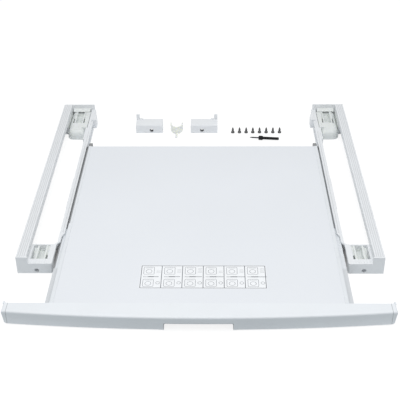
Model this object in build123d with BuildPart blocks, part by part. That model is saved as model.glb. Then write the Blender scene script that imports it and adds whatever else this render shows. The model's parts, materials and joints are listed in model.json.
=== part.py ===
"""Washer dryer stacking kit: two side frames with a pull-out worktop shelf and its loose parts.

Millimetres, +Z up. The origin is on the ground, in the middle of the whole kit with the shelf
drawn out a little. -Y is the front, where the shelf comes out. Side frames stand at -X and +X.
Places along the frames are measured backwards from the front faces of the frames.
"""
import os
from math import atan, cos, radians, sin

from build123d import *

os.makedirs("parts", exist_ok=True)

# Overall sizes
frame_width = 598          # over both side frames
frame_length = 545
frame_height = 33
deck_height = 20.5         # top of the end blocks and of the inner rails
pull_out = 100             # how far the shelf stands drawn out
ground_gap = 0.8           # the grip pads carry the mouldings this far off the ground
seat_gap = 0.15            # between an insert and its pocket
run_gap = 0.3              # between parts that slide on each other
stop_gap = 0.4             # left between two stops when the shelf is in or right out
thread_gap = 0.05          # round a screw's shank, in its hole
overrun = 2                # how far cuts pass through a face
thin = 1                   # how far joined walls run into each other

# Outer rail
rail_width = 17
rail_wall = 2.5
rail_lip_wall = 2
rail_edge_radius = 1.2
flute_count = 4
flute_width = 1.6
flute_depth = 0.5
flute_pitch = 3.4
rail_rib_count = 5
rail_rib_wall = 1.6
rail_rib_depth = 6

# Inner rail, a channel open towards the shelf
block_width = 58
channel_web = 3
channel_depth = 9
channel_lip = 3.4
channel_floor = 3.2
channel_groove = 1.2
channel_groove_depth = 0.5
channel_groove_place = 3
step_from = 164            # the outer edge is a little wider between these two places
step_to = 264
step_width = 0.8
lug_place = 139.6          # from the front of the frame to the back of the lug
lug_length = 5
lug_width = 3
lug_low = 6
lug_height = 5

# Front end block
front_block_length = 54
block_corner_radius = 3
pocket_inset = 9.7         # from the block's inner side to the foot pocket
pocket_width = 27.5
front_lip = 13.4           # thickness of the block's front wall
pocket_length = 38
base_wall = 2.8
shoulder_wall = 3          # front wall in front of the outer rail's end
spigot_length = 34         # tenon that fills the outer rail's end
spigot_gap = 0.2
shell_wall = 2.4
hole_inset = 32            # from the outside of the frame to the screw hole
hole_height = 6.3
hole_radius = 2.3
recess_radius = 3.8
recess_depth = 7
tooth_count = 6
tooth_width = 1.8
tooth_length = 7
tooth_height = 0.7
tooth_pitch = 4.6
mouth_length = 34          # the channel's entry, moulded with the front block
mouth_neck = 4             # how far the entry's narrow lip stands inwards
mouth_ramp = 9
mouth_step = 15
corner_web = 5
tongue_length = 20
tongue_wall = 1.4
tongue_inset = 1

# Front foot seat
fin_wall = 3.2
fin_inset_outer = 6.6
fin_inset_inner = 3.4
fin_drop = 0.8
seat_height = 8
seat_floor = 1.6
seat_hollow_radius = 7.5
seat_hollow_depth = 3
seat_ramp_radius = 9
screw_room_radius = 2.8    # tunnel under the seat, behind the front screw hole

# Rear end block
rear_length = 98           # of the rear block's channel and of the cup
rear_wall = 3
rear_base_length = 75
ear_reach = 32             # how far the ear runs forwards beside the inner rail
ear_width = 3.2
rear_notch_length = 6
rear_stop_length = 48
notch_reach = 4
stop_reach = 5.5
stop_flat = 18
stop_taper = 20
high_wall_inset = 65       # from the outside to the inner end of the high rear wall

# Rear foot cup
cup_gap = 0.8
cup_nose_radius = 14
cup_corner_radius = 7
cup_brow_radius = 12
cup_shoulder = 16          # how far behind its front the cup widens, past the ear
cup_inner_radius = 4
cup_pocket_start = 37      # behind the cup's front
cup_pocket_length = 52
cup_pocket_inset = 8.2
cup_pocket_width = 24
cup_fin_wall = 2.4
cup_slot_width = 2.6
cup_seat_height = 7
cup_hollow_radius = 9
cup_hollow_depth = 3
cup_ramp_radius = 11
cup_floor = 2
cup_fin_drop = 1

# Grip pads
pad_thickness = 2
front_pad_width = 24
front_pad_length = 34
rear_pad_width = 34
rear_pad_length = 54
pad_corner_radius = 4

# Rail screws
rail_screw_radius = 1.5
rail_screw_head_radius = 2.8
rail_screw_head = 1.6
rail_screw_length = 5.6
rail_screw_count = 2
rail_screw_pitch = 20
rail_screw_height = 10

# Shelf board
shelf_height = 26
board_thickness = 9
board_drop = 0.3           # the glide's strip stands this much over the board
strip_wall = 6
strip_gap = 4.5            # between the glide's strip and the channel's lips
edging_wall = 1.5
edging_drop = 0.3

# Glide
glide_flange_gap = 1
glide_flange_wall = 2.5
glide_runner_wall = 2.5
glide_runner_inset = 4.5   # from the flange's edge to the runner
glide_ledge_reach = 14.5
glide_ledge_wall = 3.2

# Fascia
fascia_inset = 0.5         # of its ends, from the outsides of the frames
fascia_depth = 34          # in the middle, from the board's front edge
fascia_bow = 14            # how much less deep it is at its ends
fascia_wall = 2.5
fascia_ground = 1.6
fascia_top_radius = 3.2
fascia_foot_radius = 1.8
fascia_back_height = 16
fascia_flange_gap = 5      # between the flange's ends and the glides' ledges
fascia_flange_reach = 16
notch_width = 104
notch_height = 11.8
notch_corner_radius = 2
notch_flare = 0.6
notch_edge_radius = 0.8
fascia_rib_wall = 2
fascia_rib_height = 6
fascia_rib_count = 4       # on each side of the notch
cap_width = 8
cap_tip = 4                # the cap's tips reach this far behind the board's front edge
cap_tip_wall = 3
cap_tip_height = 12
cap_corner_radius = 4.6
cap_edge_radius = 2
cap_draft = 3.5            # how much the caps' outer sides slope in towards the ground
cap_plug = 8
cap_plug_wall = 3
cap_plug_gap = 0.2

# Shelf screws
shelf_screw_radius = 1.75
shelf_screw_head_radius = 3.5
shelf_screw_head = 1.8
shelf_screw_bite = 5.5
glide_screw_count = 5
glide_screw_end = 30       # from the board's ends to the first and last screws
glide_screw_inset = 7
fascia_screw_count = 5
fascia_screw_end = 22      # from the flange's ends to the first and last screws
fascia_screw_inset = 8

# Stop clip
clip_length = 16
clip_lug_reach = 21        # the lug stands further back than the clip
clip_width = 7
clip_top_drop = 2
clip_base = 5
clip_lug_height = 8
clip_edge_radius = 1
clip_plug_length = 10
clip_plug_width = 3
clip_plug_height = 4

# Blank label plate
label_width = 200
label_length = 59
label_thickness = 0.25
label_offset = 6
label_reach = 34.5         # from the board's front edge to the plate
label_corner_radius = 2

# Loose parts behind the shelf
loose_gap = 0.6            # between the shelf, when it is in, and the brackets
bracket_width = 56
bracket_height = 20
bracket_depth = 26.5
bracket_wall = 3
bracket_cheek = 2.4
bracket_edge_radius = 5
bracket_cheek_share = 0.6  # of the depth, how far a cheek stands on the ground
bracket_tab_width = 7
bracket_tab_height = 12
bracket_tab_depth = 5
bracket_step_width = 7
bracket_step_height = 2
bracket_hole_offset = 4.6
bracket_hole_height = 6.4
bracket_hole_radius = 4
bracket_screw_radius = 2.3
bracket_boss_radius = 6
bracket_boss_length = 5
bracket_recess_depth = 6
left_bracket_x = -112.8
right_bracket_x = 2.2

spacer_x = -55.5
spacer_lead = 4.2          # the spacer's shell stands this much in front of the brackets
spacer_radius = 13
spacer_prow_share = 0.63   # of the radius, how far out the shell's shoulders stand
spacer_wall = 2.4
spacer_height = 16.3
spacer_prong_height = 19.5
spacer_prong_width = 4.2
spacer_prong_tip = 2.6
spacer_leg = 4
spacer_floor = 1.8
spacer_foot_radius = 6
spacer_crotch_radius = 2
spacer_stem_length = 17
spacer_stem_width = 4.4
spacer_stem_height = 3
spacer_stem_radius = 1.5

screw_count = 8
screw_pitch = 14
screw_first_x = 62.5
screw_lag = 1.8            # the screws' middles stand this much behind the brackets' fronts
screw_radius = 1.8
screw_head_radius = 3.75
screw_head = 2.4
screw_head_rim = 0.9
screw_length = 12.6
screw_tip = 3
screw_point_radius = 0.4
screw_slot_length = 4.4
screw_slot_width = 1.1
screw_slot_depth = 1

driver_x = 97.3            # tip of the driver's shaft
driver_lead = 28.2         # its tip lies this far in front of the brackets
driver_shaft_length = 18
driver_shaft_radius = 1.4
driver_tip_length = 4
driver_tip_wall = 0.9
driver_collar_radius = 4.5
driver_collar_length = 9
driver_collar_edge = 1.2
driver_handle_radius = 2.9
driver_handle_length = 33
driver_handle_end = 1.2
driver_socket = 8
driver_turn = -1           # degrees, how the driver lies across the row

# Places that follow from the sizes above
rear_stop_start = frame_length - rear_stop_length
board_length = rear_stop_start + cap_tip - clip_lug_reach
overall_length = frame_length + pull_out + cap_tip + fascia_depth
front_y = overall_length / 2 - frame_length
board_front_y = front_y - pull_out - cap_tip
outer_x = frame_width / 2
rail_x = outer_x - rail_width                      # inner face of the outer rail
channel_x = outer_x - block_width                  # outer face of the inner rail
channel_lip_x = channel_x - channel_depth
web_x = channel_x - channel_web
floor_top = ground_gap + channel_floor
lip_under = deck_height - channel_lip
board_top = shelf_height - board_drop
board_under = board_top - board_thickness
glide_strip_x = channel_lip_x - strip_gap
half_board = glide_strip_x - strip_wall
glide_flange_x = web_x - glide_flange_gap
glide_flange_top = lip_under - 2 * run_gap
glide_runner_x = glide_flange_x - glide_runner_inset
board_back_y = board_front_y + board_length
clip_tail_y = board_back_y + clip_lug_reach
lug_back_y = front_y + lug_place
rear_start = frame_length - rear_length
loose_row = board_length - cap_tip - stop_gap + loose_gap


def from_front(distance):
    """A place along Y, measured backwards from the front faces of the frames."""
    return front_y + distance


def slab(x, y, z, mode=Mode.ADD):
    """A box between two corners, given as a low and a high value along each axis."""
    with Locations(((x[0] + x[1]) / 2, (y[0] + y[1]) / 2, (z[0] + z[1]) / 2)):
        Box(abs(x[1] - x[0]), abs(y[1] - y[0]), abs(z[1] - z[0]), mode=mode)


def save(name, piece):
    """Labels a finished piece and writes it."""
    piece.part.label = name
    export_step(piece.part, f"parts/{name}.step")


def save_pair(name, right):
    """Writes a right-hand piece and its mirror image on the left."""
    save("right_" + name, right)
    with BuildPart() as left:
        mirror(right.part, about=Plane.YZ)
    save("left_" + name, left)


def plate(points, low, high):
    """A flat plate with the given plan outline, between two heights."""
    with BuildSketch(Plane.XY.offset(low)) as outline:
        with BuildLine():
            Polyline(*points, close=True)
        make_face()
    extrude(outline.sketch, amount=high - low)


# Outer rail: a top plate with an outer skirt and a short inner lip, fluted along its length
rail_front_y = from_front(shoulder_wall)
rail_back_y = from_front(frame_length - rear_wall)
skirt_x = outer_x - rail_wall
with BuildPart() as outer_rail:
    with BuildSketch(Plane.XZ.offset(-rail_front_y)):
        with BuildLine():
            Polyline(
                (outer_x, ground_gap), (outer_x, frame_height), (rail_x, frame_height),
                (rail_x, deck_height), (rail_x + rail_lip_wall, deck_height),
                (rail_x + rail_lip_wall, frame_height - rail_wall),
                (skirt_x, frame_height - rail_wall), (skirt_x, ground_gap), close=True,
            )
        make_face()
    extrude(amount=-(rail_back_y - rail_front_y))
    fillet(
        outer_rail.edges().filter_by(Axis.Y).group_by(Axis.Z)[-1],
        radius=rail_edge_radius,
    )
    with Locations((outer_x - rail_width / 2, (rail_front_y + rail_back_y) / 2, frame_height)):
        with GridLocations(flute_pitch, 0, flute_count, 1):
            Box(
                flute_width, frame_length, 2 * flute_depth, mode=Mode.SUBTRACT,
            )
    for index in range(rail_rib_count):
        share = (index + 1) / (rail_rib_count + 1)
        rib_y = from_front(front_block_length + share * (rear_start - front_block_length))
        slab(
            (rail_x + rail_lip_wall, skirt_x),
            (rib_y - rail_rib_wall / 2, rib_y + rail_rib_wall / 2),
            (frame_height - rail_wall - rail_rib_depth, frame_height - rail_wall),
        )
save_pair("outer_rail", outer_rail)

# Inner rail: the plain stretch of the channel between the two end blocks
mouth_back_y = from_front(front_block_length + mouth_length)
rear_start_y = from_front(rear_start)
ear_start_y = from_front(rear_start - ear_reach)
with BuildPart() as inner_rail:
    rail_span = (mouth_back_y, rear_start_y)
    slab((web_x, channel_x), rail_span, (ground_gap, deck_height))
    slab((channel_lip_x, channel_x), rail_span, (lip_under, deck_height))
    slab((channel_lip_x, channel_x), rail_span, (ground_gap, floor_top))
    slab(
        (channel_x, channel_x + step_width),
        (from_front(step_from), from_front(step_to)),
        (ground_gap, deck_height),
    )
    slab((web_x - lug_width, web_x), (lug_back_y - lug_length, lug_back_y),
         (lug_low, lug_low + lug_height))
    groove_x = channel_lip_x + channel_groove_place
    slab(
        (groove_x, groove_x + channel_groove),
        (mouth_back_y - overrun, rear_start_y + overrun),
        (deck_height - channel_groove_depth, deck_height + overrun), mode=Mode.SUBTRACT,
    )
    slab(
        (channel_lip_x + tongue_inset - seat_gap, web_x + seat_gap),
        (mouth_back_y - overrun, mouth_back_y + tongue_length + seat_gap),
        (ground_gap - overrun, ground_gap + tongue_wall), mode=Mode.SUBTRACT,
    )
    screw_mid_y = (ear_start_y + rear_start_y) / 2
    with Locations(Plane((web_x, screw_mid_y, rail_screw_height), x_dir=(0, 1, 0), z_dir=(1, 0, 0))):
        with GridLocations(rail_screw_pitch, 0, rail_screw_count, 1):
            Cylinder(
                rail_screw_radius + thread_gap, rail_screw_length + thread_gap,
                align=(Align.CENTER, Align.CENTER, Align.MIN), mode=Mode.SUBTRACT,
            )
            Cone(
                rail_screw_head_radius + thread_gap, rail_screw_radius + thread_gap,
                rail_screw_head + thread_gap,
                align=(Align.CENTER, Align.CENTER, Align.MIN), mode=Mode.SUBTRACT,
            )
save_pair("inner_rail", inner_rail)

# Screws that hold the inner rail to the rear block's ear, flush with the inside of the channel
with BuildPart() as rail_screws:
    with Locations(Plane((web_x, screw_mid_y, rail_screw_height), x_dir=(0, 1, 0), z_dir=(1, 0, 0))):
        with GridLocations(rail_screw_pitch, 0, rail_screw_count, 1):
            Cylinder(
                rail_screw_radius, rail_screw_length,
                align=(Align.CENTER, Align.CENTER, Align.MIN),
            )
            Cone(
                rail_screw_head_radius, rail_screw_radius, rail_screw_head,
                align=(Align.CENTER, Align.CENTER, Align.MIN),
            )
save_pair("rail_screws", rail_screws)

# Front end block: foot pocket, tall shoulder, tenon for the outer rail and the channel's mouth
block_back_y = from_front(front_block_length)
pocket_x = channel_x + pocket_inset
pocket_y = from_front(front_lip)
base_top = ground_gap + base_wall
hole_x = outer_x - hole_inset
with BuildPart() as front_block:
    with BuildSketch(Plane.XY.offset(ground_gap)):
        with Locations(((channel_x + rail_x) / 2, (front_y + block_back_y) / 2)):
            Rectangle(rail_x - channel_x, front_block_length)
    extrude(amount=deck_height - ground_gap)
    slab((rail_x - overrun, outer_x), (front_y, rail_front_y), (ground_gap, frame_height))
    fillet(
        front_block.edges().filter_by(Axis.Y).group_by(Axis.Z)[-1],
        radius=rail_edge_radius,
    )
    spigot_y = (rail_front_y - overrun, rail_front_y + spigot_length)
    slab(
        (rail_x - overrun, skirt_x - spigot_gap), spigot_y,
        (ground_gap, deck_height - seat_gap),
    )
    slab(
        (rail_x + rail_lip_wall + spigot_gap, skirt_x - spigot_gap), spigot_y,
        (deck_height - overrun, frame_height - rail_wall - spigot_gap),
    )
    fillet(
        front_block.edges().filter_by(Axis.Z).group_by(Axis.X)[0].sort_by(Axis.Y)[0],
        radius=block_corner_radius,
    )
    # The foot pocket, open at the top
    slab(
        (pocket_x, pocket_x + pocket_width), (pocket_y, pocket_y + pocket_length),
        (base_top, deck_height + overrun), mode=Mode.SUBTRACT,
    )
    # Hollows under the thick walls
    slab(
        (channel_x + shell_wall, pocket_x - shell_wall),
        (pocket_y, pocket_y + pocket_length),
        (ground_gap - overrun, deck_height - shell_wall), mode=Mode.SUBTRACT,
    )
    slab(
        (rail_x + rail_lip_wall + shell_wall, skirt_x - shell_wall),
        (rail_front_y + shell_wall, rail_front_y + spigot_length - shell_wall),
        (ground_gap - overrun, frame_height - rail_wall - shell_wall), mode=Mode.SUBTRACT,
    )
    # Screw hole through the front wall, with a recess for the head
    with Locations(Plane((hole_x, front_y, hole_height), x_dir=(1, 0, 0), z_dir=(0, -1, 0))):
        CounterBoreHole(
            radius=hole_radius, counter_bore_radius=recess_radius,
            counter_bore_depth=recess_depth, depth=front_lip + overrun,
        )
    # Short teeth on the front lip
    with Locations(((pocket_x + pocket_width / 2, front_y + front_lip / 2, deck_height))):
        with GridLocations(tooth_pitch, 0, tooth_count, 1):
            Box(tooth_width, tooth_length, 2 * tooth_height)
    # The channel's mouth, whose lip steps inwards in two ramps
    neck_x = channel_lip_x + mouth_neck
    ramp_back_y = mouth_back_y - overrun
    ramp_front_y = ramp_back_y - mouth_ramp
    neck_front_y = ramp_front_y - mouth_step
    corner_x = channel_x + corner_web
    root = [
        (channel_x, block_back_y - thin), (corner_x, block_back_y - thin),
        (corner_x, block_back_y), (channel_x, block_back_y + corner_web),
        (channel_x, mouth_back_y),
    ]
    plate([(web_x, mouth_back_y), (web_x, neck_front_y)] + root, ground_gap, deck_height)
    plate(
        [(channel_lip_x, mouth_back_y), (channel_lip_x, ramp_back_y),
         (neck_x, ramp_front_y), (neck_x, neck_front_y)] + root,
        lip_under, deck_height,
    )
    plate(
        [(channel_lip_x, mouth_back_y), (channel_lip_x, ramp_front_y),
         (neck_x, neck_front_y)] + root,
        ground_gap, floor_top,
    )
    slab(
        (groove_x, groove_x + channel_groove), (ramp_back_y, mouth_back_y + overrun),
        (deck_height - channel_groove_depth, deck_height + overrun), mode=Mode.SUBTRACT,
    )
    slab(
        (channel_lip_x + tongue_inset, web_x),
        (mouth_back_y - overrun, mouth_back_y + tongue_length),
        (ground_gap, ground_gap + tongue_wall - seat_gap),
    )
    # Bed for the grip pad
    front_pad_x = pocket_x + pocket_width / 2
    front_pad_y = pocket_y + pocket_length / 2
    with Locations((front_pad_x, front_pad_y, ground_gap - overrun)):
        Box(
            front_pad_width + 2 * seat_gap, front_pad_length + 2 * seat_gap,
            pad_thickness - ground_gap + overrun,
            align=(Align.CENTER, Align.CENTER, Align.MIN), mode=Mode.SUBTRACT,
        )
save_pair("front_block", front_block)


def seat(x, y, bottom, fins, top, hollow_radius, hollow_depth, ramp_radius):
    """A foot seat between two fins: a trough along Y whose back end ramps up.

    x and fins hold the seat's and the fins' low and high places across, and top the heights of
    the seat and of the fins.
    """
    seat_top, fin_top = top
    slab(x, y, (bottom, seat_top))
    middle_x = (x[0] + x[1]) / 2
    with Locations(Plane((middle_x, y[0], seat_top), x_dir=(1, 0, 0), z_dir=(0, -1, 0))):
        with Locations((0, hollow_radius - hollow_depth, 0)):
            Cylinder(
                hollow_radius, y[1] - y[0] + overrun, mode=Mode.SUBTRACT,
                align=(Align.CENTER, Align.CENTER, Align.MAX),
            )
    with BuildPart(mode=Mode.PRIVATE) as ramp:
        slab(x, (y[1] - ramp_radius, y[1]), (bottom, bottom + ramp_radius))
        with Locations(Plane((x[0], y[1] - ramp_radius, bottom + ramp_radius),
                             x_dir=(0, 1, 0), z_dir=(1, 0, 0))):
            Cylinder(
                ramp_radius - thin, x[1] - x[0], mode=Mode.SUBTRACT,
                align=(Align.CENTER, Align.CENTER, Align.MIN),
            )
    add(ramp.part)
    for fin in fins:
        slab(fin, y, (bottom, fin_top))


# Front foot seat: an insert with two fins and a hollowed seat between them
seat_x = (pocket_x + seat_gap, pocket_x + pocket_width - seat_gap)
seat_y = (pocket_y + seat_gap, pocket_y + pocket_length - seat_gap)
inner_fin_x = (pocket_x + fin_inset_inner, pocket_x + fin_inset_inner + fin_wall)
outer_fin_end = pocket_x + pocket_width - fin_inset_outer
outer_fin_x = (outer_fin_end - fin_wall, outer_fin_end)
with BuildPart() as front_foot_seat:
    slab(seat_x, seat_y, (base_top, base_top + seat_floor))
    seat(
        (inner_fin_x[1] - thin, outer_fin_x[0] + thin), seat_y, base_top,
        (inner_fin_x, outer_fin_x), (base_top + seat_height, deck_height - fin_drop),
        seat_hollow_radius, seat_hollow_depth, seat_ramp_radius,
    )
    # The front screw's end runs in a tunnel under the seat
    with Locations(Plane((hole_x, pocket_y, hole_height), x_dir=(1, 0, 0), z_dir=(0, 1, 0))):
        Cylinder(
            screw_room_radius, pocket_length, mode=Mode.SUBTRACT,
            align=(Align.CENTER, Align.CENTER, Align.MIN),
        )
save_pair("front_foot_seat", front_foot_seat)

# Rear end block: high rear wall, tenon, ear, the channel's rear end and the shelf's rear stop
rear_y = from_front(frame_length)
rear_wall_y = from_front(frame_length - rear_wall)
rear_base_y = from_front(frame_length - rear_base_length)
rear_stop_y = from_front(rear_stop_start)
shoulder_y = from_front(rear_start + cup_shoulder)
ear_x = channel_x + ear_width
rear_pad_x = (channel_x + rail_x) / 2
rear_pad_y = (rear_base_y + rear_y) / 2
with BuildPart() as rear_block:
    slab((outer_x - high_wall_inset, outer_x), (rear_wall_y, rear_y), (ground_gap, frame_height))
    fillet(
        rear_block.edges().filter_by(Axis.Y).group_by(Axis.Z)[-1],
        radius=rail_edge_radius,
    )
    slab(
        (channel_lip_x, skirt_x - spigot_gap), (rear_base_y, rear_wall_y + thin),
        (ground_gap, base_top),
    )
    spigot_y = (rear_wall_y - spigot_length, rear_wall_y + thin)
    slab((rail_x, skirt_x - spigot_gap), spigot_y, (ground_gap, deck_height - seat_gap))
    slab(
        (rail_x + rail_lip_wall + spigot_gap, skirt_x - spigot_gap), spigot_y,
        (deck_height - overrun, frame_height - rail_wall - spigot_gap),
    )
    # The channel's rear end and the ear outside it
    channel_y = (rear_start_y, rear_y)
    slab((web_x, channel_x), channel_y, (ground_gap, deck_height))
    slab((channel_lip_x, channel_x), channel_y, (lip_under, deck_height))
    slab((channel_lip_x, channel_x), channel_y, (ground_gap, floor_top))
    slab((channel_x, ear_x), (ear_start_y, shoulder_y), (ground_gap, deck_height))
    slab(
        (groove_x, groove_x + channel_groove), (rear_start_y - overrun, rear_stop_y),
        (deck_height - channel_groove_depth, deck_height + overrun), mode=Mode.SUBTRACT,
    )
    slab(
        (channel_lip_x - overrun, channel_lip_x + notch_reach),
        (rear_stop_y - rear_notch_length, rear_stop_y),
        (ground_gap - overrun, deck_height + overrun), mode=Mode.SUBTRACT,
    )
    slab((channel_lip_x, channel_x), (rear_stop_y, rear_y), (ground_gap, deck_height))
    plate(
        [(channel_lip_x, rear_stop_y), (channel_lip_x - stop_reach, rear_stop_y),
         (channel_lip_x - stop_reach, rear_stop_y + stop_flat),
         (channel_lip_x, rear_stop_y + stop_flat + stop_taper)],
        ground_gap, deck_height,
    )
    # Holes for the rail screws, and the bed for the grip pad
    with Locations(Plane((web_x, screw_mid_y, rail_screw_height), x_dir=(0, 1, 0), z_dir=(1, 0, 0))):
        with GridLocations(rail_screw_pitch, 0, rail_screw_count, 1):
            Cylinder(
                rail_screw_radius + thread_gap, rail_screw_length + thread_gap,
                align=(Align.CENTER, Align.CENTER, Align.MIN), mode=Mode.SUBTRACT,
            )
    with Locations((rear_pad_x, rear_pad_y, ground_gap - overrun)):
        Box(
            rear_pad_width + 2 * seat_gap, rear_pad_length + 2 * seat_gap,
            pad_thickness - ground_gap + overrun,
            align=(Align.CENTER, Align.CENTER, Align.MIN), mode=Mode.SUBTRACT,
        )
save_pair("rear_block", rear_block)

# Rear foot cup: a rimmed insert with a rounded nose, a foot pocket and its seat
cup_x = (channel_x + cup_gap, rail_x - cup_gap)
cup_nose_x = ear_x + cup_gap
cup_back_y = rear_wall_y - seat_gap
cup_pocket_x = cup_x[0] + cup_pocket_inset
cup_pocket_front_y = from_front(rear_start + cup_pocket_start)
cup_pocket_y = (cup_pocket_front_y, cup_pocket_front_y + cup_pocket_length)
with BuildPart() as rear_foot_cup:
    plate(
        [(cup_nose_x, rear_start_y), (cup_x[1], rear_start_y), (cup_x[1], cup_back_y),
         (cup_x[0], cup_back_y), (cup_x[0], shoulder_y + cup_gap),
         (cup_nose_x, shoulder_y + cup_gap)],
        ground_gap, deck_height,
    )
    for row, end, radius in (
        (0, -1, cup_nose_radius), (0, 0, cup_inner_radius), (-1, -1, cup_corner_radius),
    ):
        upright = rear_foot_cup.edges().filter_by(Axis.Z).group_by(Axis.Y)[row]
        fillet(upright.sort_by(Axis.X)[end], radius=radius)
    fillet(
        rear_foot_cup.edges().group_by(Axis.Z)[-1].filter_by(Axis.X).sort_by(Axis.Y)[0],
        radius=cup_brow_radius,
    )
    slab(
        (cup_x[0] - overrun, cup_x[1] + overrun), (rear_base_y - cup_gap, cup_back_y + overrun),
        (ground_gap - overrun, base_top), mode=Mode.SUBTRACT,
    )
    slab(
        (cup_pocket_x, cup_pocket_x + cup_pocket_width), cup_pocket_y,
        (base_top + cup_floor, deck_height + overrun), mode=Mode.SUBTRACT,
    )
    fin_start_x = cup_pocket_x + cup_slot_width
    fin_stop_x = cup_pocket_x + cup_pocket_width - cup_slot_width
    seat(
        (fin_start_x + thin, fin_stop_x - thin), cup_pocket_y, base_top + cup_floor - thin,
        ((fin_start_x, fin_start_x + cup_fin_wall), (fin_stop_x - cup_fin_wall, fin_stop_x)),
        (base_top + cup_seat_height, deck_height - cup_fin_drop),
        cup_hollow_radius, cup_hollow_depth, cup_ramp_radius,
    )
save_pair("rear_foot_cup", rear_foot_cup)


def grip_pad(middle, width, length):
    """A rubber pad with rounded corners, standing on the ground."""
    with BuildSketch() as outline:
        with Locations(middle):
            RectangleRounded(width, length, pad_corner_radius)
    extrude(outline.sketch, amount=pad_thickness)


with BuildPart() as front_grip_pad:
    grip_pad((front_pad_x, front_pad_y), front_pad_width, front_pad_length)
save_pair("front_grip_pad", front_grip_pad)
with BuildPart() as rear_grip_pad:
    grip_pad((rear_pad_x, rear_pad_y), rear_pad_width, rear_pad_length)
save_pair("rear_grip_pad", rear_grip_pad)

# Shelf screws, all driven upwards: one row along each glide and one along the fascia
ledge_under = board_under - glide_ledge_wall
glide_screw_x = half_board - glide_screw_inset
glide_screw_y = board_front_y + board_length / 2
glide_screw_pitch = (board_length - 2 * glide_screw_end) / (glide_screw_count - 1)
half_flange = half_board - glide_ledge_reach - fascia_flange_gap
fascia_screw_y = board_front_y + fascia_screw_inset
fascia_screw_pitch = 2 * (half_flange - fascia_screw_end) / (fascia_screw_count - 1)


def shelf_screws(rows, gap=0, mode=Mode.ADD):
    """Screws with flat round heads under the ledges, or with a gap the holes for them."""
    for x, y, x_pitch, y_pitch, x_count, y_count in rows:
        with Locations((x, y, ledge_under)):
            with GridLocations(x_pitch, y_pitch, x_count, y_count):
                Cylinder(
                    shelf_screw_radius + gap, glide_ledge_wall + shelf_screw_bite + gap,
                    align=(Align.CENTER, Align.CENTER, Align.MIN), mode=mode,
                )
                if not gap:
                    Cylinder(
                        shelf_screw_head_radius, shelf_screw_head,
                        align=(Align.CENTER, Align.CENTER, Align.MAX),
                    )


glide_rows = [
    (side * glide_screw_x, glide_screw_y, 0, glide_screw_pitch, 1, glide_screw_count)
    for side in (-1, 1)
]
fascia_rows = [(0, fascia_screw_y, fascia_screw_pitch, 0, fascia_screw_count, 1)]
with BuildPart() as glide_screws:
    shelf_screws(glide_rows)
save("glide_screws", glide_screws)
with BuildPart() as fascia_screws:
    shelf_screws(fascia_rows)
save("fascia_screws", fascia_screws)


def label_outline(height):
    """The label plate's plan outline at a height."""
    with BuildSketch(Plane.XY.offset(height)) as outline:
        with Locations((label_offset, board_front_y + label_reach + label_length / 2)):
            RectangleRounded(label_width, label_length, label_corner_radius)
    return outline.sketch


# Shelf board, with its screw holes and the label's recess, and the edging on its rear edge
label_under = board_top - label_thickness
with BuildPart() as shelf_panel:
    slab(
        (-half_board, half_board), (board_front_y, board_back_y - edging_wall),
        (board_under, board_top),
    )
    extrude(label_outline(label_under), amount=label_thickness + overrun, mode=Mode.SUBTRACT)
    shelf_screws(glide_rows + fascia_rows, thread_gap, Mode.SUBTRACT)
save("shelf_panel", shelf_panel)

with BuildPart() as rear_edge_strip:
    slab(
        (-half_board, half_board), (board_back_y - edging_wall, board_back_y),
        (board_under, board_top - edging_drop),
    )
save("rear_edge_strip", rear_edge_strip)

# Glide: a strip beside the board, a ledge under it, a flange and a runner in the channel
runner_under = floor_top + run_gap
flange_under = glide_flange_top - glide_flange_wall
runner_inner_x = glide_runner_x - glide_runner_wall
plug_x = (glide_strip_x - strip_wall / 2, (glide_flange_top + shelf_height) / 2)
with BuildPart() as glide:
    with BuildSketch(Plane.XZ.offset(-board_front_y)):
        with BuildLine():
            Polyline(
                (half_board, shelf_height), (glide_strip_x, shelf_height),
                (glide_strip_x, glide_flange_top), (glide_flange_x, glide_flange_top),
                (glide_flange_x, flange_under), (glide_runner_x, flange_under),
                (glide_runner_x, runner_under), (runner_inner_x, runner_under),
                (runner_inner_x, ledge_under), (half_board - glide_ledge_reach, ledge_under),
                (half_board - glide_ledge_reach, board_under), (half_board, board_under),
                close=True,
            )
        make_face()
    extrude(amount=-board_length)
    shelf_screws(glide_rows, thread_gap, Mode.SUBTRACT)
    with Locations((plug_x[0], board_back_y, plug_x[1])):
        Box(
            clip_plug_width + 2 * seat_gap, 2 * (clip_plug_length + seat_gap),
            clip_plug_height + 2 * seat_gap, mode=Mode.SUBTRACT,
        )
save_pair("glide", glide)

# Stop clip: closes the glide's rear end, and its lug meets the stops in the channel
with BuildPart() as stop_clip:
    slab(
        (glide_strip_x - clip_width, glide_strip_x), (board_back_y, board_back_y + clip_length),
        (clip_base, board_top - clip_top_drop),
    )
    fillet(stop_clip.edges().filter_by(Axis.X).group_by(Axis.Z)[-1], radius=clip_edge_radius)
    slab(
        (glide_strip_x - clip_width, glide_flange_x), (board_back_y, clip_tail_y),
        (clip_base, clip_base + clip_lug_height),
    )
    with Locations((plug_x[0], board_back_y, plug_x[1])):
        Box(clip_plug_width, 2 * clip_plug_length, clip_plug_height)
save_pair("stop_clip", stop_clip)

# Fascia: a bowed hollow front, open underneath, with a finger notch in its lower edge
fascia_front_y = board_front_y - fascia_depth
half_fascia = outer_x - fascia_inset
bow_radius = (half_fascia**2 + fascia_bow**2) / (2 * fascia_bow)


def bow_y(x):
    """Where the fascia's face stands at a place across it."""
    return fascia_front_y + bow_radius - (bow_radius**2 - x**2) ** 0.5


def bowed_plan(half_width, inset, back_y):
    """The fascia's plan outline, with its face set back by an inset."""
    with BuildSketch() as plan:
        with BuildLine():
            ThreePointArc(
                (-half_width, bow_y(half_width) + inset), (0, fascia_front_y + inset),
                (half_width, bow_y(half_width) + inset),
            )
            Polyline(
                (half_width, bow_y(half_width) + inset), (half_width, back_y),
                (-half_width, back_y), (-half_width, bow_y(half_width) + inset),
            )
        make_face()
    return plan.sketch


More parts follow.
